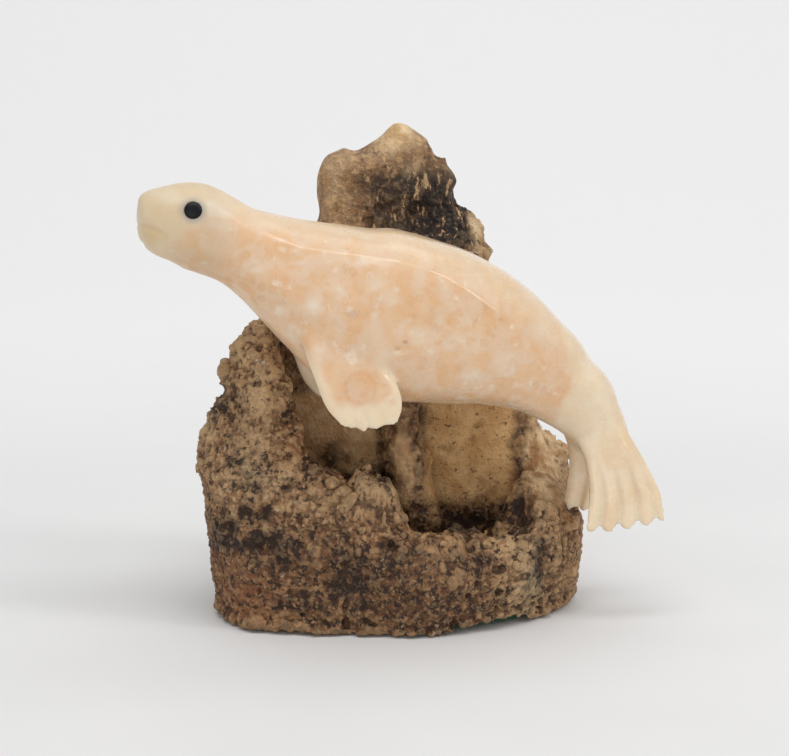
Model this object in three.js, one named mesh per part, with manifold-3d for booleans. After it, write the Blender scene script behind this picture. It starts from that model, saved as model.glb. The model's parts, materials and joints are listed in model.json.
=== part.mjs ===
// A small polished seal carved from tusk, glued by its flank to a rough, crumbling base.
// Millimetres, +Z up. The origin is at the base's underside, the seal faces -X and hangs
// on the -Y side of the base, which is the front.

import * as THREE from 'three';
import { ImprovedNoise } from 'three/addons/math/ImprovedNoise.js';
import { mergeVertices } from 'three/addons/utils/BufferGeometryUtils.js';
import Module from 'manifold-3d';

const wasm = await Module();
wasm.setup();

// Driving sizes of the seal
const SEAL_LENGTH = 72;
const SEAL_YAW = THREE.MathUtils.degToRad(11);
const EYE_DIAMETER = 2.2;
const EYE_DEPTH = 1.5;
const EYE_BULGE = 0.25;
const EYE_CLEARANCE = 0.1;

// Driving sizes of the base and its felt pad
const BASE_WIDTH = 54;
const BASE_DEPTH = 30;
const BASE_HEIGHT = 67.8;
const RIM_THICKNESS = 6.5;
const POCKET_FLOOR = 7;
const WALL_BULGE = 1.5;
const FOOT_CHAMFER = 1.3;
const LUMP_HEIGHT = 1.1;
const LUMP_SPACING = 6.1;
const CRUMB_HEIGHT = 0.7;
const CRUMB_SPACING = 2.7;
const FELT_THICKNESS = 1.2;
const FELT_INSET = 2.2;

// How the seal sits on the base
const SEAT_HEIGHT = BASE_HEIGHT * 0.63;
const SEAT_X = 2;
const SEAT_SINK = 1.3;
const GLUE_GAP = 0.3;

// Fineness of the facets
const BODY_SIDES = 26;
const BODY_STEPS = 42;
const CRUST_SIDES = 44;
const SLAB_SIDES = 36;
const SLAB_STEPS = 30;

// The seal's body from nose to tail: centre x and z, half height and half width, in percent of its length
const BODY_STATIONS = [
  [-49.8, 19.8, 1.6, 1.4],
  [-49.3, 19.8, 3.6, 3.2],
  [-47.9, 19.8, 5.1, 4.5],
  [-44.9, 19.4, 6.8, 5.9],
  [-39.9, 18.5, 8.1, 7.3],
  [-35.8, 16.9, 7.8, 7.4],
  [-31.4, 14.6, 7.3, 7.3],
  [-27.1, 12.2, 8.2, 8.4],
  [-22.6, 9.7, 10.0, 10.0],
  [-16.5, 6.5, 12.7, 12.0],
  [-8.6, 2.5, 15.5, 13.2],
  [-0.3, 0.2, 15.7, 13.4],
  [8.0, -1.8, 14.7, 12.9],
  [15.2, -4.4, 13.1, 11.8],
  [20.9, -7.4, 11.1, 10.2],
  [25.8, -10.8, 9.1, 8.6],
  [30.3, -14.5, 7.6, 7.1],
  [34.1, -18.0, 6.5, 6.0],
  [36.8, -21.3, 5.8, 5.3],
  [39.2, -25.0, 5.0, 4.4],
  [41.0, -29.0, 3.6, 2.8],
];
const BODY_SQUARENESS = 2.35;

// The flippers in percent of the seal's length. From root to tip: front and rear edges in side view,
// distance from the middle plane, and half thickness. From front to rear across the tip: how far
// the toes reach past it. ridge is how much thicker the blade is along its toes, as a share.
const FRONT_FLIPPER = {
  front: [[-21.9, 4.2], [-21.2, -2.6], [-19.3, -8.3], [-17.2, -13.6], [-14.6, -16.9]],
  rear: [[-10.7, 3.8], [-7.2, -4.6], [-4.0, -9.4], [-2.9, -13.3], [-3.6, -16.4]],
  offset: [7.4, 9.9, 11.5, 12.4, 13.0],
  thickness: [2.0, 1.9, 1.5, 1.0, 0.35],
  toes: [
    [0, 0], [0.1, 0.6], [0.23, 0.7], [0.36, 2.0], [0.45, 0.9],
    [0.62, 1.6], [0.72, 0.6], [0.91, 1.0], [1, 0],
  ],
  ridge: 0,
};
const HIND_FLIPPER = {
  front: [[31.5, -18.4], [32.2, -23.4], [33.8, -27.2], [34.6, -32.0], [34.4, -36.0], [33.5, -41.0]],
  rear: [[38.6, -15.0], [42.0, -21.0], [44.5, -25.8], [46.9, -30.3], [48.7, -34.3], [49.5, -39.2]],
  offset: [1.2, 2.5, 4.0, 5.4, 6.6, 7.8],
  thickness: [2.4, 2.5, 2.1, 1.6, 1.1, 0.4],
  toes: [
    [0, -0.3], [0.07, 0.9], [0.18, -0.2], [0.3, 1.1], [0.41, -0.1], [0.53, 1.2],
    [0.65, -0.1], [0.76, 1.2], [0.88, 0], [0.97, 0.9], [1, 0.3],
  ],
  ridge: 0.5,
};
const BLADE_ROWS = 8;

// Where the eye is: its station, in percent of the length, and its angle above the flank
const EYE_STATION = -41.0;
const EYE_ANGLE = THREE.MathUtils.degToRad(25);

// The crust's outer wall, once round its foot from the right: x and y in shares of the width and
// depth, the broken rim's height in shares of the height, and how far the rim leans in as a share
// of the width
const WALL = [
  [0.480, 0.15, 0.26, 0.04],
  [0.475, -0.02, 0.27, 0.065],
  [0.430, -0.14, 0.25, 0.065],
  [0.355, -0.28, 0.205, 0.04],
  [0.275, -0.37, 0.175, 0.03],
  [0.190, -0.44, 0.165, 0.02],
  [0.095, -0.50, 0.18, 0.02],
  [-0.030, -0.49, 0.265, 0.02],
  [-0.155, -0.46, 0.30, 0.03],
  [-0.280, -0.43, 0.35, 0.04],
  [-0.335, -0.41, 0.40, 0.05],
  [-0.385, -0.36, 0.51, 0.06],
  [-0.440, -0.26, 0.57, 0.08],
  [-0.465, -0.10, 0.60, 0.085],
  [-0.460, 0.10, 0.58, 0.075],
  [-0.425, 0.32, 0.50, 0.045],
  [-0.330, 0.46, 0.44, 0.035],
  [-0.150, 0.50, 0.40, 0.035],
  [0.050, 0.50, 0.38, 0.035],
  [0.230, 0.48, 0.36, 0.035],
  [0.390, 0.42, 0.32, 0.035],
  [0.455, 0.30, 0.30, 0.045],
];

// The tall slab behind the seal, from its foot to its peak: height in shares of the base's height,
// left and right edges in shares of its width, front and back faces in shares of its depth
const SLAB = [
  [0.000, -0.40, 0.440, 0.10, 0.48],
  [0.180, -0.42, 0.476, 0.16, 0.50],
  [0.250, -0.42, 0.484, 0.17, 0.50],
  [0.285, -0.42, 0.482, 0.165, 0.495],
  [0.308, -0.42, 0.435, 0.16, 0.49],
  [0.345, -0.41, 0.398, 0.14, 0.48],
  [0.400, -0.41, 0.378, 0.10, 0.47],
  [0.500, -0.38, 0.345, 0.02, 0.46],
  [0.600, -0.33, 0.305, -0.05, 0.44],
  [0.700, -0.25, 0.262, -0.04, 0.42],
  [0.770, -0.195, 0.235, 0.06, 0.40],
  [0.805, -0.180, 0.215, 0.10, 0.39],
  [0.825, -0.180, 0.165, 0.11, 0.38],
  [0.890, -0.182, 0.158, 0.12, 0.36],
  [0.922, -0.165, 0.125, 0.13, 0.34],
  [0.945, -0.075, 0.105, 0.14, 0.32],
  [0.970, -0.012, 0.075, 0.15, 0.30],
  [1.000, 0.010, 0.035, 0.18, 0.26],
];
const SLAB_SQUARENESS = 3;

// The rib that divides the hollow, from floor to top: height in shares of the base's height,
// x and half breadth in shares of its width, y in shares of its depth
const RIB = [
  [0.13, 0.060, 0.05, 0.067],
  [0.22, 0.055, 0.02, 0.063],
  [0.32, 0.040, 0.01, 0.056],
  [0.42, 0.022, 0.03, 0.056],
  [0.52, 0.011, 0.06, 0.048],
];
const RIB_DEPTH_RATIO = 1.3;
const RIB_SIDES = 14;
const RIB_STEPS = 9;

const percent = SEAL_LENGTH / 100;
const noise = new ImprovedNoise();

// A smooth open curve through rows of two or three numbers
function curve(rows) {
  const points = rows.map((row) => new THREE.Vector3(row[0], row[1], row[2] ?? 0));
  return new THREE.CatmullRomCurve3(points, false, 'catmullrom', 0.5);
}

// Where a value of the first column lies along a table, from 0 at its first row to 1 at its last
function placeInTable(rows, value) {
  const next = rows.findIndex((row) => row[0] >= value);
  const share = (value - rows[next - 1][0]) / (rows[next][0] - rows[next - 1][0]);
  return (next - 1 + share) / (rows.length - 1);
}

// A closed skin over rings of equal length, each end closed by strips from side to side
function loft(rings) {
  const sides = rings[0].length;
  const index = [];
  for (let r = 0; r < rings.length - 1; r++) {
    for (let s = 0; s < sides; s++) {
      const a = r * sides + s;
      const b = r * sides + ((s + 1) % sides);
      index.push(a, b, b + sides, a, b + sides, a + sides);
    }
  }
  const last = (rings.length - 1) * sides;
  for (let s = 0; s < sides / 2; s++) {
    const across = (k) => (sides - k) % sides;
    const corners = [s, s + 1, across(s + 1), across(s)];
    for (const [p, q, r] of [[0, 2, 1], [0, 3, 2]]) {
      const [a, b, c] = [corners[p], corners[q], corners[r]];
      if (a !== b && b !== c && c !== a) {
        index.push(a, b, c, last + a, last + c, last + b);
      }
    }
  }
  const geometry = new THREE.BufferGeometry().setFromPoints(rings.flat());
  geometry.setIndex(index);
  return facingOut(geometry);
}

// Turns the faces round if they point inwards
function facingOut(geometry) {
  const position = geometry.attributes.position;
  const index = geometry.index.array;
  const [a, b, c] = [new THREE.Vector3(), new THREE.Vector3(), new THREE.Vector3()];
  let volume = 0;
  for (let i = 0; i < index.length; i += 3) {
    a.fromBufferAttribute(position, index[i]);
    b.fromBufferAttribute(position, index[i + 1]);
    c.fromBufferAttribute(position, index[i + 2]);
    volume += a.dot(b.cross(c));
  }
  if (volume < 0) {
    for (let i = 0; i < index.length; i += 3) {
      [index[i], index[i + 1]] = [index[i + 1], index[i]];
    }
  }
  return geometry;
}

// From a closed geometry to a solid that can be joined and cut, and back
function solid(geometry) {
  const bare = geometry.clone();
  bare.deleteAttribute('normal');
  bare.deleteAttribute('uv');
  const merged = mergeVertices(bare, 1e-5);
  const vertProperties = new Float32Array(merged.attributes.position.array);
  const triVerts = new Uint32Array(merged.index.array);
  return new wasm.Manifold(new wasm.Mesh({ numProp: 3, vertProperties, triVerts }));
}

function surface(manifold) {
  const mesh = manifold.getMesh();
  const geometry = new THREE.BufferGeometry();
  geometry.setAttribute('position', new THREE.BufferAttribute(mesh.vertProperties, 3));
  geometry.setIndex(new THREE.BufferAttribute(mesh.triVerts, 1));
  geometry.computeVertexNormals();
  return geometry;
}

// A point of a rounded, slightly square section, with its half width and half height
function squarePoint(angle, halfWidth, halfHeight, squareness) {
  const power = 2 / squareness;
  const [c, s] = [Math.cos(angle), Math.sin(angle)];
  return [
    halfWidth * Math.sign(c) * Math.abs(c) ** power,
    halfHeight * Math.sign(s) * Math.abs(s) ** power,
  ];
}

// A point on the seal's body, swollen by extra, at a place from nose to tail and an angle round it
const spine = curve(BODY_STATIONS.map(([x, z]) => [x * percent, 0, z * percent]));
const girth = curve(BODY_STATIONS.map(([, , high, wide]) => [high * percent, wide * percent]));

function bodyPoint(place, angle, extra = 0) {
  const centre = spine.getPoint(place);
  const along = spine.getTangent(place);
  const up = new THREE.Vector3(-along.z, 0, along.x);
  const size = girth.getPoint(place);
  const [y, n] = squarePoint(angle, size.y + extra, size.x + extra, BODY_SQUARENESS);
  return centre.addScaledVector(up, n).add(new THREE.Vector3(0, y, 0));
}

function sealBody(extra) {
  const rings = [];
  for (let step = 0; step <= BODY_STEPS; step++) {
    const ring = [];
    for (let side = 0; side < BODY_SIDES; side++) {
      ring.push(bodyPoint(step / BODY_STEPS, (2 * Math.PI * side) / BODY_SIDES, extra));
    }
    rings.push(ring);
  }
  return loft(rings);
}

// One flipper: a thin blade between its two edges, with toes at its tip.
// side is -1 on the right of the seal, towards the front, and 1 on its left.
function flipper(form, side, extra) {
  const edge = (rows) => curve(rows.map(([x, z]) => [x * percent, 0, z * percent]));
  const front = edge(form.front);
  const rear = edge(form.rear);
  const lateral = curve(form.offset.map((offset, i) => [offset * percent, form.thickness[i] * percent]));
  const rings = [];
  for (let row = 0; row <= BLADE_ROWS; row++) {
    const v = row / BLADE_ROWS;
    const [a, b] = [front.getPoint(v), rear.getPoint(v)];
    const down = front.getTangent(v).add(rear.getTangent(v)).normalize();
    const [offset, half] = lateral.getPoint(v);
    const point = ([u, toe], face) => {
      const across = 2 * u - 1;
      const crown = Math.sqrt(1 - across ** 4) * (1 + form.ridge * (toe - 0.5) * v);
      const p = a.clone().lerp(b, u).addScaledVector(down, toe * percent * v ** 3 + extra * v);
      p.x += extra * across;
      p.y = side * offset + face * (half * crown + extra);
      return p;
    };
    const columns = form.toes.flatMap(([u, toe], i) => {
      const [nextU, nextToe] = form.toes[i + 1] ?? [u, toe];
      return [[u, toe], [(u + nextU) / 2, (toe + nextToe) / 2]];
    });
    columns.pop();
    const back = columns.slice(1, -1).reverse();
    rings.push([...columns.map((column) => point(column, 1)), ...back.map((column) => point(column, -1))]);
  }
  return loft(rings);
}

// The eye: a short plug with a domed face, along +Z before it is placed, and the socket drilled for it
function eyePlug(radius, depth, bulge) {
  const domeRadius = (radius ** 2 + bulge ** 2) / (2 * bulge);
  const profile = [new THREE.Vector2(0, -depth), new THREE.Vector2(radius, -depth)];
  const steps = 3;
  for (let i = 0; i <= steps; i++) {
    const r = radius * (1 - i / steps);
    profile.push(new THREE.Vector2(r, Math.sqrt(domeRadius ** 2 - r ** 2) - domeRadius + bulge));
  }
  return new THREE.LatheGeometry(profile, 20).rotateX(Math.PI / 2);
}

const eyePlace = placeInTable(BODY_STATIONS, EYE_STATION);

function eyeMatrix(side) {
  const angle = side > 0 ? EYE_ANGLE : Math.PI - EYE_ANGLE;
  const small = 0.01;
  const at = bodyPoint(eyePlace, angle);
  const along = bodyPoint(eyePlace + small, angle).sub(at);
  const round = bodyPoint(eyePlace, angle + small).sub(at);
  const outward = along.cross(round).normalize();
  outward.multiplyScalar(Math.sign(outward.y) * side);
  const turn = new THREE.Quaternion().setFromUnitVectors(new THREE.Vector3(0, 0, 1), outward);
  return new THREE.Matrix4().compose(at, turn, new THREE.Vector3(1, 1, 1));
}

function eyeGeometry(side) {
  return eyePlug(EYE_DIAMETER / 2, EYE_DEPTH, EYE_BULGE).applyMatrix4(eyeMatrix(side));
}

function eyeSocket(side) {
  const deep = EYE_DEPTH + EYE_CLEARANCE;
  const drill = new THREE.CylinderGeometry(
    EYE_DIAMETER / 2 + EYE_CLEARANCE,
    EYE_DIAMETER / 2 + EYE_CLEARANCE,
    2 * deep,
    20,
  );
  return drill.rotateX(Math.PI / 2).applyMatrix4(eyeMatrix(side));
}

// The whole seal, swollen by extra where it is the cutter for its own seat
function sealSolid(extra = 0) {
  let seal = solid(sealBody(extra));
  for (const form of [FRONT_FLIPPER, HIND_FLIPPER]) {
    for (const side of [-1, 1]) {
      seal = seal.add(solid(flipper(form, side, extra)));
    }
  }
  return seal;
}

// A rough surface: the point moves away from an upright axis by lumps and crumbs
function roughen(point, axis) {
  const grain = (spacing) => noise.noise(point.x / spacing, point.y / spacing, point.z / spacing);
  const outward = new THREE.Vector3(point.x - axis.x, point.y - axis.y, 0).normalize();
  const height = LUMP_HEIGHT * grain(LUMP_SPACING) + CRUMB_HEIGHT * grain(CRUMB_SPACING);
  return point.addScaledVector(outward, height);
}

// The crust's wall as closed curves: its foot, and its rim's height with how far the rim leans in
function ringCurve(points) {
  return new THREE.CatmullRomCurve3(points, true);
}

const footCurve = ringCurve(WALL.map(([x, y]) => new THREE.Vector3(x * BASE_WIDTH, y * BASE_DEPTH, 0)));
const rimCurve = ringCurve(
  WALL.map(([, , height, lean]) => new THREE.Vector3(height * BASE_HEIGHT, lean * BASE_WIDTH, 0)),
);

// A point of the foot, moved towards the middle by a distance and up to a height
function inward(foot, distance, z) {
  const length = Math.hypot(foot.x, foot.y);
  const closest = 0.04 * length;
  const scale = Math.max(length - distance, closest) / length;
  return new THREE.Vector3(foot.x * scale, foot.y * scale, z);
}

// The crust: a broken bowl with a thick wall. Its rows go up the outside, over the rim and down
// into the hollow; up and down are shares of the way between the foot, the rim and the floor.
function crust() {
  const bottom = FELT_THICKNESS;
  const rows = [
    { up: 0, inset: FOOT_CHAMFER },
    { up: 0.08, inset: 0 },
    { up: 0.3, inset: -WALL_BULGE / 2 },
    { up: 0.55, inset: -WALL_BULGE },
    { up: 0.8, inset: -WALL_BULGE / 2, lean: 0.5 },
    { up: 0.97, inset: 0.7, lean: 1 },
    { up: 1, inset: RIM_THICKNESS * 0.35, lean: 1 },
    { up: 0.96, inset: RIM_THICKNESS * 0.7, lean: 1 },
    { down: 0.3, inset: RIM_THICKNESS, lean: 0.8 },
    { down: 0.7, inset: RIM_THICKNESS * 1.1, lean: 0.4 },
    { down: 1, inset: RIM_THICKNESS * 1.5, lean: 0 },
    { down: 1, inset: BASE_WIDTH, lean: 0 },
  ];
  const rings = rows.map(({ up, down, inset, lean = 0 }, row) => {
    const ring = [];
    for (let side = 0; side < CRUST_SIDES; side++) {
      const foot = footCurve.getPoint(side / CRUST_SIDES);
      const rim = rimCurve.getPoint(side / CRUST_SIDES);
      const top = bottom + rim.x;
      const floor = bottom + POCKET_FLOOR;
      const z = down === undefined ? bottom + rim.x * up : top + (floor - top) * down;
      const point = inward(foot, inset + rim.y * lean, z);
      ring.push(row === 0 || row === rows.length - 1 ? point : roughen(point, new THREE.Vector3()));
    }
    return ring;
  });
  return loft(rings);
}

// The slab that stands behind the seal and rises to the peak
const slabEdges = curve(SLAB.map(([height, left, right]) => [
  height * BASE_HEIGHT,
  left * BASE_WIDTH,
  right * BASE_WIDTH,
]));
const slabFaces = curve(SLAB.map(([, , , near, far]) => [near * BASE_DEPTH, far * BASE_DEPTH]));

function slab() {
  const rings = [];
  for (let step = 0; step <= SLAB_STEPS; step++) {
    const [height, left, right] = slabEdges.getPoint(step / SLAB_STEPS);
    const [near, far] = slabFaces.getPoint(step / SLAB_STEPS);
    const middle = new THREE.Vector3((left + right) / 2, (near + far) / 2, FELT_THICKNESS + height);
    const ring = [];
    for (let side = 0; side < SLAB_SIDES; side++) {
      const angle = (2 * Math.PI * side) / SLAB_SIDES;
      const [x, y] = squarePoint(angle, (right - left) / 2, (far - near) / 2, SLAB_SQUARENESS);
      const point = middle.clone().add(new THREE.Vector3(x, y, 0));
      ring.push(step === 0 ? point : roughen(point, middle));
    }
    rings.push(ring);
  }
  return loft(rings);
}

// The rib between the two pockets of the hollow
function rib() {
  const axis = curve(RIB.map(([height, x, y]) => [
    x * BASE_WIDTH,
    y * BASE_DEPTH,
    FELT_THICKNESS + height * BASE_HEIGHT,
  ]));
  const breadth = curve(RIB.map((row) => [row[3] * BASE_WIDTH, 0]));
  const rings = [];
  for (let step = 0; step <= RIB_STEPS; step++) {
    const middle = axis.getPoint(step / RIB_STEPS);
    const half = breadth.getPoint(step / RIB_STEPS).x;
    const ring = [];
    for (let side = 0; side < RIB_SIDES; side++) {
      const angle = (2 * Math.PI * side) / RIB_SIDES;
      const away = new THREE.Vector3(Math.cos(angle), RIB_DEPTH_RATIO * Math.sin(angle), 0);
      ring.push(roughen(middle.clone().addScaledVector(away, half), middle));
    }
    rings.push(ring);
  }
  return loft(rings);
}

// The green felt under the base, inside its foot by the inset
function felt() {
  const points = footCurve.getPoints(CRUST_SIDES).slice(0, CRUST_SIDES);
  const outline = points.map((foot) => inward(foot, FELT_INSET + FOOT_CHAMFER, 0));
  const shape = new THREE.Shape(outline.map(({ x, y }) => new THREE.Vector2(x, y)));
  return new THREE.ExtrudeGeometry(shape, { depth: FELT_THICKNESS, bevelEnabled: false });
}

const MATERIALS = {
  tusk: new THREE.MeshStandardMaterial({ color: 0xe9cfa8, roughness: 0.28, metalness: 0 }),
  eye: new THREE.MeshStandardMaterial({ color: 0x0b0b10, roughness: 0.2, metalness: 0 }),
  rough: new THREE.MeshStandardMaterial({ color: 0x8a6a48, roughness: 0.8, metalness: 0 }),
  felt: new THREE.MeshStandardMaterial({ color: 0x0f5138, roughness: 1, metalness: 0 }),
};

function piece(name, geometry, material) {
  const mesh = new THREE.Mesh(geometry, material.clone());
  mesh.name = name;
  return mesh;
}

// The seal hangs with its far flank sunk a little into the slab's front face
const seatPlace = placeInTable(SLAB, SEAT_HEIGHT / BASE_HEIGHT);
const slabFront = slabFaces.getPoint(seatPlace).x;
const widest = Math.max(...BODY_STATIONS.map((row) => row[3])) * percent;
const hanging = new THREE.Group();
hanging.position.set(SEAT_X, slabFront + SEAT_SINK - widest, SEAT_HEIGHT + FELT_THICKNESS);
hanging.rotation.z = SEAL_YAW;
hanging.updateMatrixWorld(true);

const seal = sealSolid().subtract(solid(eyeSocket(-1))).subtract(solid(eyeSocket(1)));
hanging.add(piece('seal', surface(seal), MATERIALS.tusk));
hanging.add(piece('eye_right', eyeGeometry(-1), MATERIALS.eye));
hanging.add(piece('eye_left', eyeGeometry(1), MATERIALS.eye));

const seat = surface(sealSolid(GLUE_GAP)).applyMatrix4(hanging.matrixWorld);
const base = solid(crust()).add(solid(slab())).add(solid(rib())).subtract(solid(seat));

const carving = new THREE.Group();
carving.add(piece('base', surface(base), MATERIALS.rough));
carving.add(piece('felt_pad', felt(), MATERIALS.felt));
carving.add(hanging);

export default carving;
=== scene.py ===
import json
import math

import bmesh
import bpy
import numpy as np
from mathutils import Matrix, Vector
from mathutils.bvhtree import BVHTree

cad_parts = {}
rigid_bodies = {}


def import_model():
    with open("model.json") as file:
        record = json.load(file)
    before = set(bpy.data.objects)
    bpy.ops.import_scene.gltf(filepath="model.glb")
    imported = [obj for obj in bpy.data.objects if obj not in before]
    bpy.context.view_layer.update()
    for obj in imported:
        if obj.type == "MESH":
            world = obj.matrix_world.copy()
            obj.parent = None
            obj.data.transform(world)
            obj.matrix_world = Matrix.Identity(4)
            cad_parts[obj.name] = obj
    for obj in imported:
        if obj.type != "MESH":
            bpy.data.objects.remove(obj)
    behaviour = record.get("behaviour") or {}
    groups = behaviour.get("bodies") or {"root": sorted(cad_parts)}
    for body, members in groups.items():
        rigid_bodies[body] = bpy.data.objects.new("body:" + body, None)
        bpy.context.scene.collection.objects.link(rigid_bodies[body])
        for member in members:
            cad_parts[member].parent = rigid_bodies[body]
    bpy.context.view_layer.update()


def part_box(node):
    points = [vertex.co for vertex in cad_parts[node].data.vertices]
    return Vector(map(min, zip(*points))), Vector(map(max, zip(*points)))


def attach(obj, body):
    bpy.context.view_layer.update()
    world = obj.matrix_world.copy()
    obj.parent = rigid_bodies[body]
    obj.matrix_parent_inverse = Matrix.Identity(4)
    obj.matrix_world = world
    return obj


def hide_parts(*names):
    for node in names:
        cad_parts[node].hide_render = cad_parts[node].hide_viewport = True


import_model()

MM = 0.001
RNG = np.random.default_rng(7)

# The camera: its place, its tilt, its focal length in pixels and the size of its picture
CAMERA_AT = np.array([0.6, -330.29, 103.70]) * MM
CAMERA_TILT = math.radians(12)
FOCAL_PX = 2409.0
IMAGE = (789, 756)

# Sizes of the seal, in millimetres, and its tables, in percent of its length
SEAL_LENGTH = 72.0
SEAL_YAW = math.radians(11)
PERCENT = SEAL_LENGTH / 100
BODY_SQUARENESS = 2.35
EYE_DIAMETER = 2.2
EYE_DEPTH = 1.5
EYE_BULGE = 0.25
SOCKET_RADIUS = EYE_DIAMETER / 2 + 0.06

# The body from nose to tail: centre x and z, half height and half width
BODY_STATIONS = np.array([
    [-49.8, 19.8, 1.6, 1.4], [-49.3, 19.8, 3.6, 3.2], [-47.9, 19.8, 5.1, 4.5],
    [-44.9, 19.4, 6.8, 5.9], [-39.9, 18.5, 8.1, 7.3], [-35.8, 16.9, 7.8, 7.4],
    [-31.4, 14.6, 7.3, 7.3], [-27.1, 12.2, 8.2, 8.4], [-22.6, 9.7, 10.0, 10.0],
    [-16.5, 6.5, 12.7, 12.0], [-8.6, 2.5, 15.5, 13.2], [-0.3, 0.2, 15.7, 13.4],
    [8.0, -1.8, 14.7, 12.9], [15.2, -4.4, 13.1, 11.8], [20.9, -7.4, 11.1, 10.2],
    [25.8, -10.8, 9.1, 8.6], [30.3, -14.5, 7.6, 7.1], [34.1, -18.0, 6.5, 6.0],
    [36.8, -21.3, 5.8, 5.3], [39.2, -25.0, 5.0, 4.4], [41.0, -29.0, 3.6, 2.8],
])
FRONT_FLIPPER = {
    "front": [[-21.9, 4.2], [-21.2, -2.6], [-19.3, -8.3], [-17.2, -13.6], [-14.6, -16.9]],
    "rear": [[-10.7, 3.8], [-7.2, -4.6], [-4.0, -9.4], [-2.9, -13.3], [-3.6, -16.4]],
    "offset": [7.4, 9.9, 11.5, 12.4, 13.0],
    "thickness": [2.0, 1.9, 1.5, 1.0, 0.35],
    "toes": [
        [0, 0], [0.1, 0.6], [0.23, 0.7], [0.36, 2.0], [0.45, 0.9],
        [0.62, 1.6], [0.72, 0.6], [0.91, 1.0], [1, 0],
    ],
    "ridge": 0.0,
}
HIND_FLIPPER = {
    "front": [[31.5, -18.4], [32.2, -23.4], [33.8, -27.2], [34.6, -32.0], [34.4, -36.0], [33.5, -41.0]],
    "rear": [[38.6, -15.0], [42.0, -21.0], [44.5, -25.8], [46.9, -30.3], [48.7, -34.3], [49.5, -39.2]],
    "offset": [1.2, 2.5, 4.0, 5.4, 6.6, 7.8],
    "thickness": [2.4, 2.5, 2.1, 1.6, 1.1, 0.4],
    "toes": [
        [0, -0.3], [0.07, 0.9], [0.18, -0.2], [0.3, 1.1], [0.41, -0.1], [0.53, 1.2],
        [0.65, -0.1], [0.76, 1.2], [0.88, 0], [0.97, 0.9], [1, 0.3],
    ],
    "ridge": 0.5,
}
EYE_STATION = -41.0
EYE_ANGLE = math.radians(25)

# Grid steps in millimetres and limits of triangles
SEAL_GRID = 0.25
SEAL_TRIANGLES = 190000
BLOCK_GRID = 0.5
CRUST_GRID = 0.21
CRUST_TRIANGLES = 197000
BACK_TRIANGLES = 80000
KNOBS = 2300


# Curves through the rows of a table, with the same rule as the solids follow
def curve(rows, t):
    rows = np.asarray(rows, float)
    t = np.atleast_1d(np.asarray(t, float))
    count = len(rows)
    padded = np.vstack([2 * rows[0] - rows[1], rows, 2 * rows[-1] - rows[-2]])
    place = t * (count - 1)
    start = np.clip(np.floor(place).astype(int), 0, count - 2)
    w = (place - start)[:, None]
    p0, p1, p2, p3 = (padded[start + k] for k in range(4))
    t0 = (p2 - p0) / 2
    t1 = (p3 - p1) / 2
    return (
        p1 + t0 * w
        + (-3 * p1 + 3 * p2 - 2 * t0 - t1) * w ** 2
        + (2 * p1 - 2 * p2 + t0 + t1) * w ** 3
    )


def tangent(rows, t):
    step = 1e-4
    lower = np.clip(np.asarray(t) - step, 0, 1)
    upper = np.clip(np.asarray(t) + step, 0, 1)
    d = curve(rows, upper) - curve(rows, lower)
    return d / np.linalg.norm(d, axis=1, keepdims=True)


def smooth_step(x, low, high):
    x = np.clip((x - low) / (high - low), 0, 1)
    return x * x * (3 - 2 * x)


# Seeded noise on a lattice, for points in millimetres
def lattice(i, j, k, salt):
    h = (i * 73856093) ^ (j * 19349663) ^ (k * 83492791) ^ (salt * 2654435761)
    h = (h ^ (h >> 13)) * 1274126177
    h = (h ^ (h >> 16)) & 0xFFFFFF
    return h / float(0xFFFFFF)


def noise(points, spacing, salt):
    p = points / spacing
    base = np.floor(p).astype(np.int64)
    f = p - base
    f = f * f * f * (f * (f * 6 - 15) + 10)
    total = np.zeros(len(p))
    for dx in (0, 1):
        for dy in (0, 1):
            for dz in (0, 1):
                value = lattice(base[:, 0] + dx, base[:, 1] + dy, base[:, 2] + dz, salt)
                weight = (
                    (f[:, 0] if dx else 1 - f[:, 0])
                    * (f[:, 1] if dy else 1 - f[:, 1])
                    * (f[:, 2] if dz else 1 - f[:, 2])
                )
                total += value * weight
    return 2 * total - 1


# Distances to the nearest and second nearest scattered seed, and a number that belongs to the nearest
def cells(points, spacing, salt):
    p = points / spacing
    base = np.floor(p).astype(np.int64)
    first = np.full(len(p), 9.0)
    second = np.full(len(p), 9.0)
    own = np.zeros(len(p))
    for dx in (-1, 0, 1):
        for dy in (-1, 0, 1):
            for dz in (-1, 0, 1):
                i, j, k = base[:, 0] + dx, base[:, 1] + dy, base[:, 2] + dz
                seed = np.stack([lattice(i, j, k, salt + n) for n in (1, 2, 3)], axis=1)
                seed += np.stack([i, j, k], axis=1)
                d = np.linalg.norm(p - seed, axis=1)
                closer = d < first
                second = np.where(closer, first, np.minimum(second, d))
                own = np.where(closer, lattice(i, j, k, salt + 4), own)
                first = np.where(closer, d, first)
    return first, second, own


# Meshes
def new_object(name, vertices, faces):
    mesh = bpy.data.meshes.new(name)
    points = [tuple(v) for v in np.asarray(vertices, float)]
    mesh.from_pydata(points, [], [tuple(map(int, f)) for f in faces])
    mesh.update()
    made = bpy.data.objects.new(name, mesh)
    bpy.context.scene.collection.objects.link(made)
    return made


def points_of(made):
    data = np.empty(len(made.data.vertices) * 3, np.float32)
    made.data.vertices.foreach_get("co", data)
    return data.reshape(-1, 3).astype(float)


def normals_of(made):
    data = np.empty(len(made.data.vertices) * 3, np.float32)
    made.data.vertices.foreach_get("normal", data)
    return data.reshape(-1, 3).astype(float)


def set_points(made, points):
    made.data.vertices.foreach_set("co", np.asarray(points, np.float32).ravel())
    made.data.update()


def edges_of(made):
    data = np.empty(len(made.data.edges) * 2, np.int32)
    made.data.edges.foreach_get("vertices", data)
    return data.reshape(-1, 2)


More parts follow.
